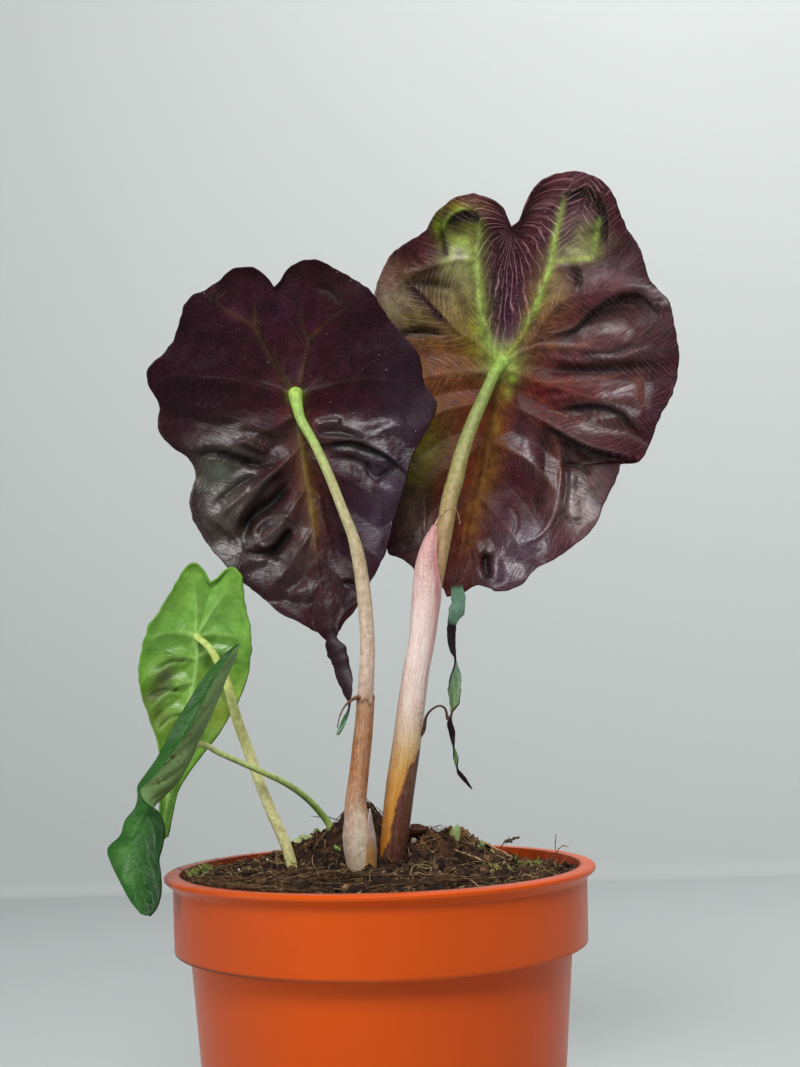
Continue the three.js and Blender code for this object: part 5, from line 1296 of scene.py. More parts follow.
        (17, 36, 5, 7, 0, 1), (4, 45, 5, 3, 0, 0.95), (6, 23, 2.6, 6, -18, 0.85),
        (26, -19, 5, 2.6, 0, 0.95), (-27, -20, 3, 5, 0, 0.6), (-24, 38, 3, 5, 0, 0.7), (-1, 51, 5, 4, 0, 1),
        (20, -30, 4, 6, 0, 0.4), (-10, -28, 2, 3, 0, 0.5), (17, 24, 5, 3, 20, 0.8), (38, -14, 3, 3, 0, 0.8),
    ],
}

lightLeaf = {
    "hub": (-39.1, 3.4, 129.7), "yaw": 0, "tilt": 8, "across": 90, "along": 130, "thickness": 0.45,
    "cup": (110, 220, 160), "hubDip": (0.8, 2.5), "quilt": (1.1, 2.4, 0.9), "wave": (0.4, 5, 0),
    "leftEdge": [
        (3, -11.5), (1.5, -14.5), (0, -16), (-1.5, -15.5), (-3.5, -13), (-7.5, -6.5), (-11, -1), (-12.5, 6),
        (-11.5, 14.5), (-8.5, 22), (-7.6, 30), (-7.6, 36.5), (-7.2, 41.6),
    ],
    "rightEdge": [
        (3, -11.5), (5, -12.5), (7, -14.5), (8.5, -14.8), (10, -13), (10.7, -6), (11.8, 0), (11.5, 6.5),
        (9, 13.5), (5, 20.3), (0.5, 25.7), (-4, 32.2), (-5.7, 39.5), (-6, 41.8),
    ],
    "midrib": [(3, -11.5), (1.5, -5.5), (0, 0), (0, 5.5), (-2, 16), (-5, 27.5), (-6.4, 37.5), (-6.6, 42.3)],
    "veins": [
        [(0, 0), (-0.3, -11), (-1.5, -13)],
        [(0, 0), (5.3, -8), (7.5, -10.5)],
        [(0, 0), (-4, -0.8), (-8, -0.7), (-11, 1)],
        [(0, 0), (5, -0.3), (11, 1)],
        [(0, 4.8), (-3.3, 4.7), (-11, 9)],
        [(0.2, 4.4), (4, 3.2), (11, 6)],
        [(-0.8, 10), (-4.3, 10.6), (-11, 16)],
        [(-1.5, 13), (3, 14), (7, 16)],
        [(-2.2, 16), (-5, 17), (-9, 21)],
        [(-4, 23), (-6, 25), (-8, 28)],
    ],
    "lobeVeins": (1, 2),
    "folds": [],
    "ridge": (0.3, 0.42),
    "wrinkles": [
        ([(-3.5, 11.8), (-7.5, 11.6), (-10.5, 12.6)], 0.45, -0.8),
        ([(-2, 5), (-6, 5.6), (-9, 7)], 0.45, -0.7), ([(-3, 16.6), (-6, 17.6), (-8.6, 20)], 0.4, -0.6),
        ([(2, 5), (6, 5.4), (10, 6.6)], 0.4, -0.4),
    ],
    "strokes": [],
    "uneven": (0.22, 0.06),
    "pillows": [
        (-6, 3, 3, 1.4, 12, 0.6), (-5.5, 8.8, 2.8, 1.4, 16, 0.7), (-6.4, 14.6, 2.4, 1.2, 18, 0.6),
        (5.5, 3, 3, 1.5, 4, 0.5), (5, 9.4, 2.8, 2.2, 4, 0.5), (3, 17.6, 2.4, 1.8, 20, 0.35),
        (-6, -4, 2.6, 2.4, 0, 0.4), (6, -4.6, 2.4, 2.4, 0, 0.4), (-5, 21.5, 1.6, 1.8, 0, 0.35),
    ],
    "base": "7aa83e",
    "dabs": [
        (3, -8, 6, 6, 0, "86ba54", 0.8), (-8, 0, 4, 5, 0, "68a03a", 0.7), (7, 3, 4, 6, 0, "6ea63e", 0.7),
        # the dark purple-brown dabs in the creases left of the rib are partly stain and partly painted
        # shade
        (-7.2, 8.6, 1.5, 2.8, 25, "4c4030", 0.85), (-9.2, 12.6, 2.4, 1.1, -20, "4e4632", 0.8),
        (-8.5, 17.5, 1.8, 1.4, 0, "625a34", 0.6), (-7, 19, 1.8, 1.8, 0, "8c9a38", 0.6),
        (4.5, 17, 2, 5, 40, "a3a540", 0.75), (6, 10, 2.5, 4, 0, "7a9c34", 0.6),
        (-5.8, 34, 2, 7, 0, "568f2f", 0.7), (1, 22, 2.5, 4, 30, "5f8f34", 0.6),
    ],
    "veinPaint": [([0, 1, 2, 3], "a9d274", 0.3, 0.85, 1.0), ([4, 5, 6, 7, 8, 9], "a2cb6a", 0.26, 0.8, 1.0)],
    "ribPaint": ("aed67a", 0.5, 0.85, -4, 38),
    "hubPaint": ("b8d67a", 0.9, 0.8),
    "hair": (0.1, []),
    "hairTone": "4c6a34",
    "dustTone": None,
    "upperTone": "4f8c2c",
    "upperVein": "8fbf5a",
    "rough": (0.4, 0.5), "shine": 0.95, "coatRough": 0.3, "richness": 1.0, "creaseShade": 0.45,
    "mottleTone": "c2d0b4",
    "gloss": [
        (6, -3, 3, 4, 0, 0.8), (5, 3, 3.4, 1.8, 0, 0.9), (-6, 3, 3.4, 1.8, 10, 0.9),
        (-6, 9, 3.2, 1.8, 12, 0.9), (5, 9, 3.4, 2.6, 0, 0.8), (-7, -4, 3.4, 3.4, 0, 0.7),
        (-5, 20, 2.4, 5, 0, 0.6), (-6.4, 15, 2.6, 1.4, 15, 0.8), (2, 18, 3, 4, 20, 0.5),
    ],
}


# Distance to the nearest of some lines, the length run along it, its share of the line, its side and number
def nearLine(lines, x, y):
    best = np.full(x.shape, 1e9)
    found = np.zeros((4, len(x)))
    for number, line in enumerate(lines):
        steps = np.hypot(*(np.diff(np.array(line)[:, :2], axis=0).T))
        run = 0.0
        for (start, end), length in zip(zip(line, line[1:]), steps):
            dx, dy = end[0] - start[0], end[1] - start[1]
            part = np.clip(((x - start[0]) * dx + (y - start[1]) * dy) / length ** 2, 0, 1)
            away = np.hypot(x - start[0] - dx * part, y - start[1] - dy * part)
            along = run + part * length
            side = np.sign(dy * (x - start[0]) - dx * (y - start[1]))
            here = np.stack([along, along / steps.sum(), side, np.full(x.shape, number)])
            found = np.where(away < best, here, found)
            best = np.minimum(best, away)
            run += length
    return (best, *found)


def smoothPoints(line):
    return smoothLine(line, np.linspace(0, 1, 6 * len(line)))[:, :2].tolist()


# The main rib below the hub and the veins off it, as smooth lines
def smoothVeins(leaf):
    hubSpot = leaf["midrib"].index((0, 0))
    return [smoothPoints(line) for line in (leaf["midrib"][hubSpot:], *leaf["veins"])]


# The same lines run on past the margin, so that the fine veins fan out without a swirl at each end
def runOn(lines, length=25):
    longer = []
    for line in lines:
        end = np.array(line[-1])
        heading = end - np.array(line[-3])
        longer.append([*line, (end + heading / np.linalg.norm(heading) * length).tolist()])
    return longer


# Distance to a smooth stroke, and how full the stroke is there, fading towards its ends
def strokeReach(line, x, y):
    away, _, share, _, _ = nearLine([smoothPoints(line)], x, y)
    return away, np.clip(np.minimum(share, 1 - share) * 5 + 0.12, 0, 1)


# How deep a spot lies in a crease or under a fold, 0 to 1, for the painted shade there
def creaseShadeDepth(leaf, x, y):
    shadeDepth = np.zeros(x.shape)
    for line, width, rise in leaf["wrinkles"]:
        if rise < 0:
            away, fade = strokeReach(line, x, y)
            shadeDepth = np.maximum(shadeDepth, min(1, -rise) * fade * bell(away, width))
    for line, _, _ in leaf["folds"]:
        away, _, share, side, _ = nearLine([smoothPoints(line)], x, y)
        under = np.where(side < 0, bell(away, 2.1), bell(away, 0.25))
        shadeDepth = np.maximum(shadeDepth, under * np.clip(np.minimum(share, 1 - share) * 6 + 0.1, 0, 1))
    return shadeDepth


# Height of the skin above the leaf's own plane, positive away from the viewer
def leafHeight(leaf, x, y, s, t, vein):
    cupAcross, cupTip, cupLobe = leaf["cup"]
    height = -(x * x) / cupAcross - (y * y) / np.where(y > 0, cupTip, cupLobe)
    dip, spread = leaf["hubDip"]
    height -= dip * np.exp(-(x * x + y * y) / (2 * spread ** 2))
    distance, _, lineShare, _, which = vein
    depth, reach, lobeShare = leaf["quilt"]
    rim = 1 - np.abs(t) ** 6
    share = lobeShare + (1 - lobeShare) * smoothStep(y, -9, 9)
    height += depth * share * rim * (1 - bell(distance, reach))
    for line, rise, reach in leaf["folds"]:
        away, _, foldShare, foldSide, _ = nearLine([smoothPoints(line)], x, y)
        over = smoothStep(foldSide * away, -0.35, 0.35) * np.clip(1 - away / reach, 0, 1)
        height -= rise * over * np.minimum(1, 0.3 + foldShare)
    ridgeHeight, ridgeWidth = leaf["ridge"]
    taper = np.where(which == 0, np.minimum(1, (1 - s) * 3), 1 - 0.8 * lineShare)
    height -= ridgeHeight * taper * bell(distance, ridgeWidth * (0.5 + 0.5 * taper)) * np.minimum(1, s * 10)
    for *pillow, rise in leaf["pillows"]:
        height -= rise * dabWeight(x, y, *pillow) * rim
    for line, width, rise in leaf["wrinkles"]:
        away, fade = strokeReach(line, x, y)
        height -= rise * fade * rim * bell(away, width)
    for size, rise in zip((0.3, 1.1), leaf["uneven"]):
        height += rise * noiseOver(x * size, y * size, 2.2)
    waveHeight, count, phase = leaf["wave"]
    ripple = np.sin(2 * math.pi * count * s + phase + np.where(t < 0, 1.3, 0))
    return height + waveHeight * np.abs(t) ** 5 * ripple * np.minimum(1, s * 8)


# From the leaf's own plane to the pot's frame
def leafPlaces(leaf, x, y, height):
    yaw, tilt = math.radians(leaf["yaw"]), math.radians(leaf["tilt"])
    right = np.array([math.cos(yaw), math.sin(yaw), 0])
    back = np.array([-math.sin(yaw), math.cos(yaw), 0])
    up = np.array([0, 0, 1])
    down = back * math.sin(tilt) - up * math.cos(tilt)
    out = back * math.cos(tilt) + up * math.sin(tilt)
    return np.array(leaf["hub"]) + x[:, None] * right + y[:, None] * down + height[:, None] * out


def leafSkin(leaf, x, y, veins):
    skin = dabColours(np.tile(tone(leaf["base"]), (len(x), 1)), x, y, leaf["dabs"])
    grey = skin.mean(axis=1, keepdims=True)
    skin = np.clip(grey + (skin - grey) * leaf["richness"], 0.001, 1)
    for numbers, code, width, strength, reach in leaf["veinPaint"]:
        away, _, share, _, _ = nearLine([veins[number + 1] for number in numbers], x, y)
        fade = np.clip((reach - share) * 5, 0, 1) * (1 - 0.45 * share)
        thin = width * (1 - 0.55 * share)
        soft = strength * fade * (0.8 * bell(away, thin) + 0.25 * bell(away, thin * 3))
        skin = tint(skin, code, np.clip(soft, 0, 1))
    for line, code, width, strength in leaf["strokes"]:
        away, fade = strokeReach(line, x, y)
        skin = tint(skin, code, strength * fade * bell(away, width))
    code, width, strength, low, high = leaf["ribPaint"]
    away = nearLine([veins[0]], x, y)[0]
    fade = smoothStep(y, low - 3, low + 2) * smoothStep(y, high + 8, high - 8)
    soft = strength * fade * (0.75 * bell(away, width) + 0.3 * bell(away, width * 3))
    skin = tint(skin, code, np.clip(soft, 0, 1))
    code, width, strength = leaf["hubPaint"]
    return tint(skin, code, strength * bell(np.hypot(x, y), width))


def undersideMaterial(name, leaf):
    paint = Paint(name)
    skin = paint.kept("skin", "Color")
    # fine veins follow the flow off each main vein, with cross links between them
    links = paint.times(paint.lines(0.7, 0.4, 7.0, 0.018), 0.4)
    net = paint.maths("MAXIMUM", paint.running(0.85, 0.28), links)
    streak = paint.streaks(5.5, 0.3)
    mottle = paint.noise(330.0, 5.0, 0.62)
    grain = paint.noise(2300.0, 2.0, 0.6)
    dark = paint.mix(1.0, skin, leaf["mottleTone"], "MULTIPLY")
    pale = paint.mix(1.0, skin, leaf["hairTone"], "SCREEN")
    colour = paint.mix(paint.span(mottle, 0.34, 0.66), dark, skin)
    colour = paint.lay(colour, pale, paint.span(streak, 0.45, 0.75), 0.06)
    colour = paint.mix(paint.span(streak, 0.3, 0.45, 0.5, 0.0), colour, dark)
    colour = paint.lay(colour, pale, paint.span(grain, 0.52, 0.72), 0.1)
    colour = paint.mix(paint.span(grain, 0.3, 0.46, 0.55, 0.0), colour, dark)
    colour = paint.lay(colour, pale, net, paint.kept("hair"))
    if leaf["dustTone"]:
        cells = paint.node("ShaderNodeTexVoronoi", Vector=paint.spot(), Scale=520.0).outputs["Distance"]
        some = paint.span(paint.noise(160.0, 2.0), 0.52, 0.6)
        colour = paint.lay(colour, leaf["dustTone"], paint.span(cells, 0.035, 0.07, 1.0, 0.0), some)
    rough = paint.span(mottle, 0.3, 0.7, *leaf["rough"])
    paint.set(Base_Color=colour, Roughness=rough, Specular_IOR_Level=0.12)
    paint.set(Coat_Weight=paint.times(paint.kept("gloss"), leaf["shine"]), Coat_Roughness=leaf["coatRough"])
    relief = paint.plus(paint.times(net, 0.55), paint.times(streak, 0.5))
    relief = paint.plus(relief, paint.plus(mottle, paint.times(grain, 0.4)))
    paint.bump(relief, 0.5, 0.14)
    return paint.material


def upperMaterial(name, leaf):
    paint = Paint(name)
    net = paint.lines(1.1, 0.3, 0.0, 0.04)
    mottle = paint.noise(300.0, 4.0)
    dark = paint.mix(1.0, leaf["upperTone"], "a8b0a8", "MULTIPLY")
    colour = paint.mix(paint.span(mottle, 0.35, 0.65), dark, leaf["upperTone"])
    colour = paint.lay(colour, leaf["upperVein"], net, 0.22)
    colour = paint.mix(paint.span(paint.kept("veinNear"), 0.25, 0.75, 0.8, 0.0), colour, leaf["upperVein"])
    paint.set(Base_Color=colour, Roughness=paint.span(mottle, 0.3, 0.7, 0.28, 0.42))
    paint.bump(paint.plus(net, mottle), 0.4, 0.15)
    return paint.material


def buildLeaf(name, leaf, stands):
    piece, acrossShare, alongShare = newGrid(name, leaf["across"], leaf["along"])
    s = 1 - alongShare
    t = acrossShare * 2 - 1
    names = ("midrib", "leftEdge", "rightEdge")
    middle, left, right = (smoothLine(leaf[key], s, even=True) for key in names)
    edge = np.where((t < 0)[:, None], left, right)
    spot = middle + (edge - middle) * np.abs(t)[:, None]
    crinkle = 0.32 * noiseOver(spot[:, 0] * 0.55, spot[:, 1] * 0.55, 8.1) * np.abs(t) ** 9
    outward = (spot - middle) / np.linalg.norm(spot - middle + 1e-9, axis=1)[:, None]
    x, y, _ = (spot + outward * crinkle[:, None]).T
    veins = smoothVeins(leaf)
    vein = nearLine(veins, x, y)
    setPlaces(piece, leafPlaces(leaf, x, y, leafHeight(leaf, x, y, s, t, vein)))
    # flow values of the fine veins: across counts them, and along runs with them
    distance, run, _, side, which = nearLine(runOn(veins), x, y)
    across = run - distance * 1.15 + side * 40 + which * 83
    along = distance + run * 0.3
    # between the two lobe veins the fine veins run together at the notch
    leftVein, rightVein = leaf["lobeVeins"]
    between = ((which == leftVein) & (side < 0)) | ((which == rightVein) & (side > 0)) | (which == 0)
    inner = (y < 0) & between
    across = np.where(inner, t * 26, across)
    along = np.where(inner, y, along)
    base, spots = leaf["hair"]
    hair = np.full(len(x), float(base))
    for *dab, strength in spots:
        hair += strength * dabWeight(x, y, *dab)
    shadeDepth = creaseShadeDepth(leaf, x, y)
    gloss = np.clip(sum(share * dabWeight(x, y, *dab) for *dab, share in leaf["gloss"]), 0, 1)
    # painted shade: creases and the low sides of folds are painted darker
    skin = leafSkin(leaf, x, y, veins) * (1 - leaf["creaseShade"] * shadeDepth)[:, None]
    keepValues(piece, skin=skin, hair=np.clip(hair, 0, 1), gloss=gloss * (1 - 0.75 * shadeDepth),
               veinNear=vein[0], flowAcross=across, flowAlong=along)
    mend(piece, merge=0.002)
    sides = [undersideMaterial(name + "Underside", leaf), upperMaterial(name + "Upper", leaf)]
    finishSheet(piece, leaf["thickness"], sides, stands)


# Drip tips: (x, y, z, half width, turn in degrees), twisted ribbons under the blades

leftTip = {
    "across": 14, "along": 130, "thickness": 0.4, "cup": 0.22,
    "stations": [
        (-10.4, 15.7, 132, 1.2, 0), (-10, 15.5, 130, 1.15, 0), (-9.7, 15.2, 128, 1.85, 5),
        (-8.9, 15, 126.4, 2.4, 10), (-8.1, 14.5, 124.3, 2.05, 10), (-7.5, 14, 121.7, 1.85, 10),
        (-6.8, 13, 119, 1.6, 20), (-6.4, 12, 116.4, 1.15, 40), (-6.2, 11.3, 114.4, 0.6, 75),
        (-6.5, 11, 112.6, 0.45, 100), (-7.1, 10.5, 111, 0.55, 150), (-8, 10, 109, 0.5, 180),
        (-8.8, 9.5, 107.4, 0.4, 200),
    ],
    "under": [(100, "7a9c6c"), (110, "5f7e5c"), (113, "2e1721"), (132, "2e1721")],
    "upper": [(100, "5f9a55"), (112, "4f7f5a"), (132, "2c4034")],
}

rightTip = {
    "across": 14, "along": 220, "thickness": 0.4, "cup": 0.22,
    "stations": [
        (20.1, 26.2, 142.2, 1.6, 0), (20.3, 26.2, 140, 1.7, 0), (20.4, 26, 138, 1.7, 0),
        (19.8, 25.6, 135.8, 2.1, -15), (19, 25.8, 134, 1.6, -30), (18.6, 26, 132.6, 1.1, 0),
        (18.4, 26, 129, 1.1, 20), (18.6, 26, 126.3, 0.9, 50), (19, 26, 124.6, 0.7, 90),
        (19.1, 26, 120.6, 1.4, 150), (18.7, 26, 117.1, 1.6, 180), (18.6, 26, 114, 1.25, 200),
        (18, 26, 111.6, 0.6, 270), (17.4, 26, 109.1, 0.75, 330), (17.8, 26, 107.1, 0.8, 360),
        (17.9, 26, 103.8, 0.5, 450), (18.4, 26, 101.7, 0.65, 520), (18.7, 26, 99.6, 0.45, 600),
        (19.3, 26, 97.6, 0.65, 680), (20.4, 26, 96.1, 0.5, 720), (21.4, 26, 94.7, 0.3, 720),
        (22.1, 26, 93.8, 0.12, 720),
    ],
    "under": [
        (94, "21141a"), (110, "24141c"), (111.5, "6b4a2a"), (113, "24121a"), (132.5, "24121a"),
        (133.6, "7ba48a"), (141, "7ba48a"), (142.2, "4a2026"),
    ],
    "upper": [(94, "2a2a22"), (99, "94b878"), (110, "6c8c64"), (111.5, "8a7a4a"), (114, "86ac74"),
        (124, "86a88c"), (142, "7ba48a")],
}


# Each side of a ribbon keeps its own colours
def ribbonMaterials(name):
    under = Paint(name + "Under")
    streak = under.streaks(4.0, 0.4)
    skin = under.kept("skin", "Color")
    dark = under.mix(1.0, skin, "b0b4b2", "MULTIPLY")
    colour = under.mix(under.span(streak, 0.3, 0.6), dark, skin)
    under.set(Base_Color=colour, Roughness=0.42, Specular_IOR_Level=0.22)
    under.bump(streak, 0.5, 0.15)
    back = Paint(name + "Back")
    streak = back.noise(1600.0, at=back.spot((1, 1, 0.25)))
    skin = back.kept("backSkin", "Color")
    dark = back.mix(1.0, skin, "a0a8a0", "MULTIPLY")
    back.set(Base_Color=back.mix(back.span(streak, 0.3, 0.6), dark, skin), Roughness=0.4)
    back.bump(streak, 0.4, 0.15)
    return [under.material, back.material]


def buildTip(name, tip):
    piece, acrossShare, alongShare = newGrid(name, tip["across"], tip["along"])
    s = 1 - alongShare
    t = acrossShare * 2 - 1
    order, row = gridRows(s)
    track = smoothLine(tip["stations"], order)
    tangents = carriedFrames(track)[0]
    sideways = np.array([1.0, 0, 0]) - tangents * tangents[:, :1]
    sideways /= np.linalg.norm(sideways, axis=1)[:, None]
    half, turns = (alongStations(tip["stations"], field, order) for field in (3, 4))
    turns = np.radians(turns)[:, None]
    across = sideways * np.cos(turns) + np.cross(tangents, sideways) * np.sin(turns)
    through = np.cross(tangents, across)
    # small nicks and waves on the edges
    nicks = 1 + 0.13 * noiseOver(track[:, 2] * 0.9, 4.4, 0.0)
    width = (half * nicks)[row]
    cup = tip["cup"] * width * (1 - t ** 2)
    setPlaces(piece, track[row] + across[row] * (width * t)[:, None] + through[row] * cup[:, None])
    level = track[row][:, 2]
    keepValues(piece, skin=stopColours(level, tip["under"]), backSkin=stopColours(level, tip["upper"]),
               flowAcross=t * width, flowAlong=s * len(tip["stations"]) * 3)
    finishSheet(piece, tip["thickness"], ribbonMaterials(name))


# The folded small leaf, spanned by its far edge, its rib and its near edge

foldedLeaf = {
    "across": 76, "along": 150, "thickness": 0.5, "bow": 0.3,
    "farEdge": [
        (-28.8, -11.5, 126.8), (-31.8, -9, 124.7), (-36.3, -8, 120), (-39.3, -7, 115.6), (-42.2, -7, 111),
        (-44.3, -7, 107), (-46, -8, 103.6), (-48.1, -9, 100.5), (-49.4, -10, 98.3), (-49.1, -11.5, 96.2),
        (-49.4, -12.5, 94.2), (-51.2, -13.3, 91.8), (-52, -14, 89), (-54.4, -14.5, 86.4),
        (-53.6, -15, 83.7), (-51.6, -16, 80.2), (-49.1, -17.3, 76.4), (-47, -18.2, 74.2),
    ],
    "rib": [
        (-28.7, -12, 126.5), (-29.3, -12, 124.2), (-31, -12, 120.5), (-33, -12, 115.5), (-35.2, -12, 110.7),
        (-37.1, -12, 106.7), (-38.9, -12.5, 102.8), (-41.1, -13, 99.2), (-43.3, -13.6, 96.8),
        (-45.2, -14.2, 95), (-46.5, -14.8, 93), (-47.1, -15.4, 91), (-47.4, -16.2, 88), (-47.7, -17, 85),
        (-47.5, -17.6, 82), (-47, -18.2, 78.7), (-46.4, -18.7, 76), (-46.1, -18.9, 74),
    ],
    "nearEdge": [
        (-28.7, -12.6, 126.4), (-29.8, -15, 124.9), (-33.1, -16.5, 119.7), (-35.4, -17, 115),
        (-37.8, -17, 110.2), (-40.6, -17, 106.2), (-43.1, -17, 102.7), (-45.6, -17.4, 99.8),
        (-47.4, -18, 97.8), (-46.6, -18.8, 95.5), (-43.8, -18.6, 93.2), (-42.7, -18.4, 90.3),
        (-43, -18.6, 87), (-43.6, -19, 84.4), (-43.2, -19.4, 82), (-43, -19.6, 78.5), (-43.8, -19.6, 75.5),
        (-45.2, -19.4, 74),
    ],
    "pucker": 0.28,
    "veinsEach": 9,
}
foldedSides = {
    "foldedUpper": {"tone": "2c641c", "deepTone": "123a10", "paleTone": "62904c", "rough": (0.26, 0.4)},
    "foldedUnder": {
        "tone": "86a868", "deepTone": "5f824c", "paleTone": "aac890", "rustTone": "5a3a20",
        "rough": (0.45, 0.6),
    },
}


def foldedMaterial(name, look):
    paint = Paint(name)
    net = paint.lines(1.4, 0.5, 0.0, 0.05)
    cloud = paint.noise(240.0, 4.0, 0.6)
    mixed = paint.plus(paint.span(cloud, 0.3, 0.7, -0.2, 0.35), paint.kept("shade"), clamp=True)
    colour = paint.mix(mixed, look["deepTone"], look["tone"])
    colour = paint.mix(paint.span(mixed, 0.75, 1.3), colour, look["paleTone"])
    colour = paint.lay(colour, look["paleTone"], net, 0.13)
    if "rustTone" in look:
        spots = paint.span(paint.noise(900.0), 0.54, 0.66)
        colour = paint.lay(colour, look["rustTone"], spots, paint.kept("rust"))
    rough = paint.span(cloud, 0.3, 0.7, *look["rough"])
    paint.set(Base_Color=colour, Roughness=rough, Specular_IOR_Level=0.28)
    paint.bump(paint.plus(net, cloud), 0.45, 0.2)
    return paint.material


def buildFoldedLeaf():
    leaf = foldedLeaf
    piece, acrossShare, alongShare = newGrid("darkBlade", leaf["across"], leaf["along"])
    s = 1 - alongShare
    t = acrossShare * 2 - 1
    share = np.abs(t)
    far, rib, near = (smoothLine(leaf[key], s) for key in ("farEdge", "rib", "nearEdge"))
    across = np.where((t < 0)[:, None], far, near) - rib
    reach = np.linalg.norm(across, axis=1)
    ahead, behind = (smoothLine(leaf["rib"], np.clip(s + step, 0, 1)) for step in (0.004, -0.004))
    lift = np.cross(ahead - behind, across)
    lift /= np.maximum(np.linalg.norm(lift, axis=1), 1e-9)[:, None]
    lift *= np.where(t < 0, 1, -1)[:, None]
    bow = leaf["bow"] * np.sin(math.pi * share) * np.minimum(1, reach / 5)
    # side veins run down and out from the rib, with the skin puckered between them
    veins = np.abs(np.sin(math.pi * leaf["veinsEach"] * (s - 0.13 * share)))
    pucker = leaf["pucker"] * veins * np.sin(math.pi * np.clip(share * 1.05, 0, 1))
    pucker *= np.minimum(1, reach / 4)
    places = rib + across * share[:, None]
    setPlaces(piece, places + lift * (bow + pucker)[:, None])
    level = places[:, 2]
    lower = smoothStep(level, 96, 90)
    shade = 0.35 + 0.25 * np.sin(share * 3) - 0.55 * lower * smoothStep(t, 0.1, 0.5)
    shade = shade + 0.25 * lower * dabWeight(t, level, -0.45, 84, 0.3, 5, 0)
    rust = dabWeight(t, level, 0.75, 103, 0.25, 4, 0) + 0.6 * dabWeight(t, level, 0.95, 110, 0.12, 7, 0)
    keepValues(piece, shade=shade, rust=np.clip(rust, 0, 1), flowAcross=s * 60 - share * reach * 0.9,
               flowAlong=share * reach)
    sides = [foldedMaterial(name, look) for name, look in foldedSides.items()]
    finishSheet(piece, leaf["thickness"], sides, ["blade_small_dark"])


# Stems: stations are (x, y, z, radius) from the blade down. Angles face the viewer at 0 and
# grow to the right. Stops are (height, colour), and dabs are (angle, height, spreads, turn, colour, share).

leftStem = {
    "around": 40, "along": 420,
    "stations": [
        (-17.45, 15.0, 187.6, 1.75), (-17.4, 14.3, 187, 1.62), (-16.9, 12.9, 183.5, 1.3),
        (-16.1, 11.9, 180.5, 1.15), (-13.1, 10.2, 174.5, 1.05), (-9.4, 8, 165.5, 1.1),
        (-6.4, 6.2, 157, 1.15), (-4.6, 5.3, 152, 1.25), (-3.5, 4.6, 147.5, 1.5), (-2.4, 3.5, 139.5, 1.6),
        (-1.7, 2.2, 127, 1.62), (-2, 1.5, 121.5, 1.7), (-2.4, 1, 115.6, 1.74), (-2.4, 1, 115, 1.76),
        (-2.8, 0.6, 110, 1.78), (-4.1, -0.3, 99.5, 2.05), (-5, -0.8, 92.5, 2.35), (-4.8, -1, 89.5, 2.75),
        (-4.6, -1, 86.5, 3.35), (-4.3, -1, 83.5, 3.4), (-4, -1, 80, 3.05), (-3.4, -0.6, 75, 2.7),
        (-2.6, 0.4, 68, 2.2),
    ],
    "stops": [
        (68, "6e5a44"), (78, "b09a7c"), (81, "cdbda0"), (85, "d8cab8"), (90, "d6c0ac"), (94, "cc9c78"),
        (99, "c28450"), (106, "be8454"), (112, "c2906a"), (116, "d2b8a6"), (122, "d8c2b2"), (132, "d2bba6"),
        (142, "c4b292"), (152, "beb389"), (160, "bdbb84"), (168, "b4c274"), (175, "a6c662"),
        (182, "9cca58"), (188, "b6e05e"),
    ],
    "dabs": [
        (-40, 86, 20, 5, 0, "cdb2a2", 0.5), (45, 83.5, 22, 4.5, 10, "c0924f", 0.8),
        (10, 86, 12, 5, 0, "ddd6bd", 0.6), (40, 103, 24, 8, 0, "9c5a30", 0.6),
        (-50, 100, 20, 9, 0, "b0683c", 0.5), (0, 106, 14, 9, 0, "cda07c", 0.5),
    ],
    "fleckTone": "74462c", "flecks": 0.75, "streakTone": "ecdcd0", "rough": (0.42, 0.6),
}
stemRing = {"level": 115.3, "swell": 0.2, "tone": "6b3f22", "below": "a9754c"}

rightStem = {
    "around": 40, "along": 360,
    "stations": [
        (34.0, 29.4, 198.9, 1.9), (33.4, 28.6, 197.9, 1.65), (31.8, 27.1, 195.8, 1.5),
        (30.2, 25.6, 192.6, 1.45), (27.6, 23.4, 187, 1.58), (24.8, 21, 180.7, 1.7), (21.9, 18.3, 173, 1.85),
        (19.9, 16, 166, 2), (18.3, 14.2, 161, 1.98), (16.7, 11.9, 153.2, 1.92), (15.3, 10.1, 147.2, 1.9),
        (14, 8.4, 141.5, 1.88), (12.3, 6.6, 134.5, 1.65), (10.4, 5, 127.7, 1.45), (7.8, 4.1, 114.6, 1.4),
        (6, 3.4, 103.8, 1.4), (4.1, 2.9, 92, 1.4), (2.4, 2.4, 80.5, 1.4), (1, 2, 68, 1.4),
    ],
    "stops": [
        (68, "6e5a44"), (120, "b39468"), (140, "b88e68"), (148, "b49066"), (158, "ae9666"), (168, "aaa266"),
        (178, "a3ac66"), (186, "9eb062"), (193, "9cbe5c"), (199, "a8d65e"),
    ],
    "dabs": [(-60, 170, 20, 20, 0, "7f8446", 0.5), (60, 160, 20, 16, 0, "a08f62", 0.5)],
    "fleckTone": "5f5a2c", "flecks": 0.8, "streakTone": "b5b080", "rough": (0.4, 0.56),
}

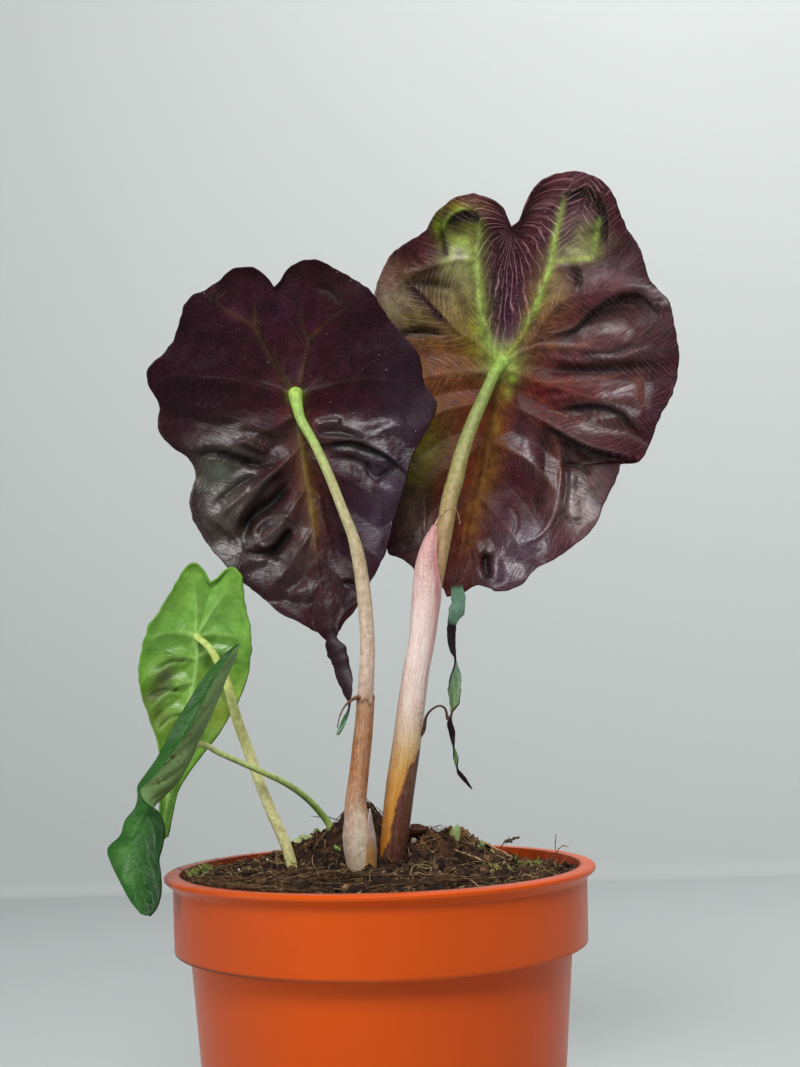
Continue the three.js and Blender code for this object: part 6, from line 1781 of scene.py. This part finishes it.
lightStem = {
    "around": 28, "along": 240,
    "stations": [
        (-39.0, 2.6, 129.6, 0.85), (-38.6, 1.9, 129.1, 0.72), (-37.1, 0.6, 128, 0.72),
        (-35.5, -0.2, 126.2, 0.78), (-33.9, -0.5, 123.3, 0.88), (-32.4, -0.5, 119.8, 0.97),
        (-29.8, -0.1, 110.5, 1.12), (-27.5, 0.6, 104, 1.13), (-25.3, 1.1, 97.5, 1.13),
        (-22.8, 1.5, 91, 1.15), (-20, 1.6, 84.5, 1.17), (-18.3, 1.6, 79, 1.2), (-15.3, 1.6, 73.5, 1.2),
        (-10.8, 1.6, 69, 1.2), (-4.8, 1.6, 66.5, 1.2),
    ],
    "stops": [
        (66, "8a8250"), (79, "dad48c"), (85, "f0efac"), (95, "f4f4b4"), (105, "eef0a4"), (115, "d9e88a"),
        (124, "c4de70"), (130, "cae67c"),
    ],
    "dabs": [(0, 100, 18, 10, 0, "d9d79e", 0.5)],
    "fleckTone": "8d8a4a", "flecks": 0.2, "streakTone": "f0efc4", "rough": (0.4, 0.55),
}

darkStem = {
    "around": 24, "along": 220,
    "stations": [
        (-37.0, -12.3, 106.7, 0.75), (-35, -10.6, 106, 0.6), (-33.3, -9, 104.8, 0.6),
        (-28.8, -6, 102.4, 0.6), (-24.1, -3.2, 100, 0.62), (-19.5, 0.8, 97.3, 0.65), (-15.7, 5, 94.1, 0.7),
        (-13.1, 8, 91, 0.74), (-11.2, 9.6, 88.2, 0.77), (-9.2, 10, 83, 0.8), (-7.2, 8, 76, 0.8),
        (-3.8, 3.5, 68, 0.8),
    ],
    "stops": [(68, "7a7a40"), (86, "a8cc6c"), (92, "b0d276"), (100, "bcd884"), (107, "c8d894")],
    "dabs": [],
    "fleckTone": "7c9040", "flecks": 0.3, "streakTone": "c6d28c", "rough": (0.4, 0.55),
}


def stemMaterial(name, stem):
    paint = Paint(name)
    skin = paint.kept("skin", "Color")
    streak = paint.streaks(3.2, 0.14, detail=4.0, rough=0.6)
    dashes = paint.streaks(5.0, 1.1, 3.0, 2.0)
    mottle = paint.noise(800.0, 5.0, 0.65)
    dark = paint.mix(1.0, skin, "d2c8ba", "MULTIPLY")
    colour = paint.mix(paint.span(mottle, 0.36, 0.64), dark, skin)
    colour = paint.lay(colour, stem["streakTone"], paint.span(streak, 0.5, 0.72), 0.35)
    fleck = paint.times(paint.span(dashes, 0.6, 0.7), stem["flecks"])
    blotch = paint.span(paint.noise(170.0), 0.42, 0.6)
    colour = paint.lay(colour, stem["fleckTone"], fleck, blotch)
    paint.set(Base_Color=colour, Roughness=paint.span(mottle, 0.3, 0.7, *stem["rough"]))
    paint.bump(paint.plus(streak, paint.times(mottle, 0.6)), 0.5, 0.18)
    return paint.material


def buildStem(name, stem, stands, ring=None):
    piece, aroundShare, alongShare = newGrid(name, stem["around"], stem["along"])
    places, level, run, (radius,) = wrapRound(stem["stations"], alongShare)
    turn = aroundShare * fullTurn
    facing = (90 - np.degrees(turn) + 180) % 360 - 180
    # low ribs along the stem
    thick = radius + 0.025 * np.sin(turn * 9) + 0.015 * np.sin(turn * 17 + 1)
    skin = dabColours(stopColours(level, stem["stops"]), facing, level, stem["dabs"])
    if ring:
        # the old sheath ends in a torn edge, and the stem is a little thicker below it
        torn = ring["level"] + 0.5 * np.sin(2 * turn + 0.4) + 0.3 * np.sin(5 * turn)
        torn -= 1.6 * bell(facing - 25, 16)
        below = smoothStep(torn - level, -0.1, 0.25)
        near = bell(torn - level - 0.35, 0.55)
        thick += ring["swell"] * below * smoothStep(level, 96, 108) + 0.12 * near
        skin = tint(skin, ring["below"], 0.45 * below * smoothStep(level, 97, 112))
        skin = tint(skin, ring["tone"], 0.85 * near)
    setPlaces(piece, places(turn, thick))
    # the pattern across is mirrored behind, so it has no seam
    across = np.radians(np.abs(facing)) * radius + np.where(facing < 0, 30, 0)
    keepValues(piece, skin=skin, flowAcross=across, flowAlong=run)
    mend(piece, merge=0.002, fill=True)
    finishPiece(piece, [stemMaterial(name + "Skin", stem)], stands)


# Dried threads: the tips of old sheaths

threadSet = {
    "leftThread": {
        "slot": "stem_left",
        "stations": [(-2.7, 0.6, 114.6, 0.75), (-4.2, -0.6, 115.3, 0.5), (-5.3, -1.6, 114.8, 0.32),
                     (-6.8, -2.2, 113.5, 0.2), (-7.9, -2.5, 111.5, 0.17), (-8.5, -2.2, 109, 0.14)],
        "stops": [(109, "a89f86"), (112, "8f7a62"), (114, "7a4a2c"), (116, "8a5632")],
    },
    "sheathTipThread": {
        "slot": "sheath",
        "stations": [(14.0, 6.2, 152.6, 0.45), (14.6, 5.9, 154.4, 0.3), (15.6, 5.8, 155.8, 0.24),
            (17.2, 5.8, 157.2, 0.2),
                     (18.7, 6.6, 157.5, 0.18), (19.5, 7.6, 156.8, 0.16), (19.9, 8.4, 155.4, 0.14),
                     (20.1, 8.6, 154.2, 0.1)],
        "stops": [(150, "d9a79c"), (154, "c9a184"), (158, "b98f62")],
    },
    "sheathLowThread": {
        "slot": "sheath",
        "stations": [(8.2, 3.2, 104.2, 0.75), (8.6, 3.0, 106, 0.7), (10.1, 2.6, 108, 0.45),
            (10.7, 1.5, 110.8, 0.3), (12, 0.6, 112.4, 0.24),
                     (13.7, 0.5, 113.1, 0.22), (14.8, 1, 112.5, 0.24), (15.2, 1.5, 111.2, 0.3),
                     (15.3, 1.6, 110.6, 0.4), (15.35, 1.6, 110.0, 0.3)],
        "stops": [(104, "7a4726"), (108, "5a3524"), (114, "4a2c20")],
    },
}


def buildThread(name, thread):
    stations = thread["stations"]
    shares = np.linspace(0, 1, 60)
    points, faces = strandBody(smoothLine(stations, shares), alongStations(stations, 3, shares), 12)
    paint = Paint(name + "Skin")
    skin = paint.kept("skin", "Color")
    streak = paint.noise(1500.0)
    dark = paint.mix(1.0, skin, "909090", "MULTIPLY")
    paint.set(Base_Color=paint.mix(paint.span(streak, 0.3, 0.6), dark, skin), Roughness=0.6)
    paint.bump(streak, 0.5, 0.1)
    piece = joinBodies(name, [(points, faces, 0.5)], paint.material)
    keepValues(piece, skin=stopColours(points[:, 2], thread["stops"]))


# Papery sheaths: open shells round a stem, whose margins are angles from the front, right positive.
# Stations are (x, y, z, radius, left margin, right margin). A stain's border is (height, angle).

sheathSet = {
    "around": 84, "along": 230, "thickness": 0.3,
    "stations": [
        (14.1, 6.3, 153.6, 0.5, -30, 30), (13.9, 6.25, 152.4, 0.95, -60, 34),
        (13.5, 6.2, 150.8, 1.35, -90, 40), (12.8, 5.9, 148.6, 1.95, -115, 46),
        (12, 5.5, 144.2, 2.6, -130, 58), (11.8, 5.3, 139, 3.22, -140, 78),
        (11.2, 5.1, 133.3, 3.12, -160, 112), (10.4, 4.8, 127.7, 2.92, -178, 150),
        (8.9, 4.3, 121, 2.9, -180, 172), (7.9, 4, 115.2, 2.97, -180, 178),
        (6.1, 3.3, 103.8, 3.1, -180, 179), (4.9, 2.9, 97.2, 3.15, -180, 179),
        (4.1, 2.6, 92, 3.1, -180, 179), (3.2, 2.4, 85.6, 2.95, -180, 179), (2.4, 2.2, 80.5, 2.7, -180, 179),
        (1.9, 2, 75.5, 2.4, -180, 179),
    ],
    "stops": [
        (75, "7a5a3a"), (80, "a85c14"), (84, "c87810"), (90, "d08a16"), (96, "d2982c"), (101, "d4ac5a"),
        (106, "dcc494"), (110, "e6d4bf"), (116, "f0e0d6"), (124, "f3e3dc"), (132, "efdcd6"),
        (139, "e6ccc6"), (145, "dcb6b1"), (150, "d0a19e"), (154, "c0908a"),
    ],
    "dabs": [
        (4, 84, 9, 6, -6, "a8481a", 0.6), (14, 93, 7, 6, -8, "a8561c", 0.5),
        (-30, 88, 8, 9, 0, "e0a838", 0.5), (-60, 95, 20, 10, 0, "b07a34", 0.5),
        (-70, 110, 20, 12, 0, "cba58c", 0.5), (60, 130, 16, 9, 0, "d18d8c", 0.6),
        (50, 143, 12, 8, 0, "c9707a", 0.7), (-20, 120, 26, 9, 0, "e6d2c8", 0.5),
    ],
    "veinTone": "8a3a3c", "rough": (0.45, 0.62),
    "stain": {"border": [(76, -66), (79, -54), (82, -40), (87, -22), (94, -5), (98, 14), (101.5, 36),
        (104, 58), (106, 84), (110, 110)],
              "tone": "6a3c2c", "deepTone": "43241a", "ragged": 16, "share": 0.93, "top": 116},
}

# A pale scale that hugs the right side of the left stem's foot
footScale = {
    "around": 60, "along": 90, "thickness": 0.3,
    "stations": [
        (-4.0, -0.9, 92.3, 2.35, 66, 74), (-4.3, -0.9, 90.6, 2.85, 50, 96), (-4.5, -1, 88.6, 3.25, 40, 120),
        (-4.4, -1, 85.8, 3.62, 30, 140), (-4.2, -1, 82.8, 3.62, 22, 150), (-4, -1, 80, 3.3, 16, 156),
        (-3.7, -0.8, 77, 3.0, 16, 156),
    ],
    "stops": [(76, "9a8462"), (80, "bf9252"), (83, "c8a878"), (86, "c6bcb6"), (92, "bdb8bc")],
    "dabs": [(40, 82.5, 18, 3.5, 0, "bd8444", 0.8), (90, 88, 20, 4, 0, "c4bfc4", 0.6)],
    "veinTone": "9a7440", "rough": (0.45, 0.6),
}


def sheathMaterial(name, sheath):
    paint = Paint(name)
    skin = paint.kept("skin", "Color")
    streak = paint.streaks(4.4, 0.16, detail=4.0, rough=0.7)
    dashes = paint.streaks(7.0, 1.2, 3.0)
    net = paint.lines(2.2, 0.75, 5.0, 0.04)
    patchy = paint.span(paint.noise(190.0, at=paint.spot((1, 1, 0.4))), 0.46, 0.6)
    mottle = paint.noise(900.0, 4.0, 0.6)
    dark = paint.mix(1.0, skin, "d8bcb4", "MULTIPLY")
    pale = paint.mix(1.0, skin, "6c6660", "SCREEN")
    colour = paint.mix(paint.span(streak, 0.34, 0.56), dark, skin)
    colour = paint.mix(paint.span(dashes, 0.34, 0.44, 0.5, 0.0), colour, dark)
    colour = paint.lay(colour, pale, paint.span(mottle, 0.5, 0.66), 0.3)
    colour = paint.lay(colour, sheath["veinTone"], paint.times(net, patchy), 0.8)
    fleck = paint.times(paint.span(dashes, 0.62, 0.68), paint.span(paint.noise(240.0, 2.0), 0.5, 0.6))
    colour = paint.lay(colour, sheath["veinTone"], fleck, 0.6)
    paint.set(Base_Color=colour, Roughness=paint.span(mottle, 0.3, 0.7, *sheath["rough"]))
    paint.bump(paint.plus(streak, paint.times(mottle, 0.5)), 0.6, 0.2)
    return paint.material


# The brown stain on the right of a sheath, with a ragged border
def stainSkin(skin, stain, facing, level):
    border = np.interp(level, *np.array(stain["border"]).T)
    border = border + stain["ragged"] * noiseOver(facing * 0.05, level * 0.3, 1.7, (0.7, 2.1, 5))
    dark = smoothStep(facing, border - 5, border + 5) * (level < stain["top"])
    patch = noiseOver(facing * 0.09, level * 0.12, 5.2, (0.8, 2.0, 4))
    depth = np.clip(0.5 + 0.8 * patch + smoothStep(level, 92, 80) * 0.4, 0, 1)
    brown = tint(tone(stain["tone"]), stain["deepTone"], depth)
    return skin + (brown - skin) * (stain["share"] * dark)[:, None]


def buildShell(name, shell, stands=()):
    piece, aroundShare, alongShare = newGrid(name, shell["around"], shell["along"])
    places, level, run, (radius, left, right) = wrapRound(shell["stations"], alongShare)
    # the grid runs from the right margin round the front to the left one, so its faces look out
    facing = right + (left - right) * aroundShare
    turn = np.radians(90 - facing)
    thick = radius + 0.02 * np.sin(turn * 7 + level * 0.07) + 0.008 * np.sin(turn * 23 + level * 0.11)
    # margins lift a little away from the stem
    lift = 0.22 * (bell(aroundShare, 0.04) + bell(1 - aroundShare, 0.04)) * smoothStep(level, 118, 134)
    setPlaces(piece, places(turn, thick + lift))
    skin = dabColours(stopColours(level, shell["stops"]), facing, level, shell["dabs"])
    if "stain" in shell:
        skin = stainSkin(skin, shell["stain"], facing, level)
    keepValues(piece, skin=skin, flowAcross=np.radians(facing) * radius, flowAlong=run)
    finishSheet(piece, shell["thickness"], [sheathMaterial(name + "Skin", shell)], stands)


# The cut shoot and the bark flake

shootSet = {
    "x": 16.2, "y": 9, "bottom": 80, "top": 87.2, "radius": 1.3, "leanX": 0.5, "around": 32, "along": 60,
    "stops": [(80, "8f9458"), (83, "aab478"), (85.5, "a2b872"), (87.4, "86a458")],
    "fleckTone": "8a9a50", "flecks": 0.2, "streakTone": "dfe5bb", "rough": (0.4, 0.55),
}


def buildShoot():
    piece, aroundShare, alongShare = newGrid("shootStub", shootSet["around"], shootSet["along"])
    turn = aroundShare * fullTurn
    level = shootSet["bottom"] + (shootSet["top"] - shootSet["bottom"]) * alongShare
    radius = shootSet["radius"] * np.interp(alongShare, [0, 0.5, 0.85, 0.96, 1], [1, 1, 0.9, 0.7, 0.34])
    radius = radius * (1 + 0.05 * np.sin(turn * 3 + 1) + 0.02 * np.sin(turn * 7))
    x = shootSet["x"] + shootSet["leanX"] * alongShare + np.cos(turn) * radius
    y = shootSet["y"] + np.sin(turn) * radius * 0.8
    # cut on a slant, highest on its right
    z = level + (0.45 * np.cos(turn) - 0.35) * alongShare ** 3
    setPlaces(piece, np.stack([x, y, z], axis=1))
    keepValues(piece, skin=stopColours(level, shootSet["stops"]), flowAcross=turn, flowAlong=level)
    mend(piece, merge=0.002, fill=True)
    finishPiece(piece, [stemMaterial("shootSkin", shootSet)], ["shoot_stub"])


barkSet = {
    "place": (8.4, 8.5, 86.4), "lean": 28, "turn": 20,
    "length": 4.2, "width": 2.6, "thickness": 1.4, "edgeRound": 0.12,
    "outline": [(-0.5, -0.35), (-0.15, -0.5), (0.35, -0.42), (0.5, 0.05), (0.2, 0.45), (-0.3, 0.5)],
    "tones": [(0.0, "20130b"), (0.4, "4a2f1e"), (0.7, "6e4a31"), (1.0, "94694a")],
}


def buildBark():
    flake = barkSet
    thick = flake["thickness"]
    bpy.ops.object.select_all(action="DESELECT")
    bpy.ops.mesh.primitive_circle_add(vertices=len(flake["outline"]), radius=1, fill_type="NGON")
    bark = bpy.context.object
    bark.name = "barkFlake"
    for vertex, (u, v) in zip(bark.data.vertices, flake["outline"]):
        vertex.co = Vector((u * flake["length"], v * flake["width"], -thick / 2)) * mm
    modify(bark, "SOLIDIFY", thickness=thick * mm, offset=1)
    modify(bark, "BEVEL", width=flake["edgeRound"] * mm, segments=2)
    modify(bark, "SUBSURF", subdivision_type="SIMPLE", levels=4, render_levels=4)
    mend(bark, merge=0.001)
    places = readPlaces(bark) / mm
    # splits run with the grain
    grain = noiseOver(*(places * (0.25, 2.2, 1.6)).T, (0.9, 2.1, 4))
    centre = places.mean(axis=0)
    places = centre + (places - centre) * (1 + 0.16 * grain[:, None])
    lean = Euler((math.radians(flake["lean"]), 0, 0)).to_matrix()
    turned = np.array(Euler((0, 0, math.radians(flake["turn"]))).to_matrix() @ lean)
    setPlaces(bark, places @ turned.T + flake["place"])
    keepValues(bark, shade=grain * 0.3)
    mend(bark, outward=True)
    finishPiece(bark, [peatMaterial("barkSkin", flake["tones"], 700.0, 0.85)], ["bark_chip"])


# The hidden corm keeps its solid and gets a rough brown skin

cormTones = [(0.3, "4a3422"), (0.6, "86684a"), (0.8, "a98a66")]


def dressCorm():
    paint = Paint("cormSkin")
    rings = paint.noise(220.0, 4.0, at=paint.spot((1, 1, 4)))
    paint.set(Base_Color=paint.ramp(rings, cormTones), Roughness=0.85)
    paint.bump(rings, 0.6, 0.4)
    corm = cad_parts["rhizome"]
    corm.data.materials.clear()
    corm.data.materials.append(paint.material)


addCamera()
addLights()
addStage()
print("stage, lights and camera are set")

buildPot()
print("pot is turned")

peat = peatMaterial("darkPeat", peatSet["tones"])
fibre = peatMaterial("peatFibre", fibreSet["tones"], 900.0, 0.8)
buildPeat(peat)
buildCrumbs(peat)
buildFibres(fibre)
buildRoots(fibre)
buildBunches(fibre)
buildMoss()
buildScraps()
buildGrains()
buildSeedHead(fibre)
print("soil is filled and scattered")

buildLeaf("leftBlade", leftLeaf, ["blade_left"])
buildTip("leftDripTip", leftTip)
buildLeaf("rightBlade", rightLeaf, ["blade_right"])
buildTip("rightDripTip", rightTip)
buildLeaf("lightBlade", lightLeaf, ["blade_small_light"])
buildFoldedLeaf()
print("leaves are spread")

buildStem("leftStem", leftStem, ["petiole_left"], stemRing)
buildStem("rightStem", rightStem, ["petiole_right"])
buildStem("lightStem", lightStem, ["petiole_small_light"])
buildStem("darkStem", darkStem, ["petiole_small_dark"])
for threadName, thread in threadSet.items():
    buildThread(threadName, thread)
buildShell("rightSheath", sheathSet, ["sheath_right"])
buildShell("footScale", footScale)
buildShoot()
buildBark()
dressCorm()
print("stems, sheaths and small pieces stand")
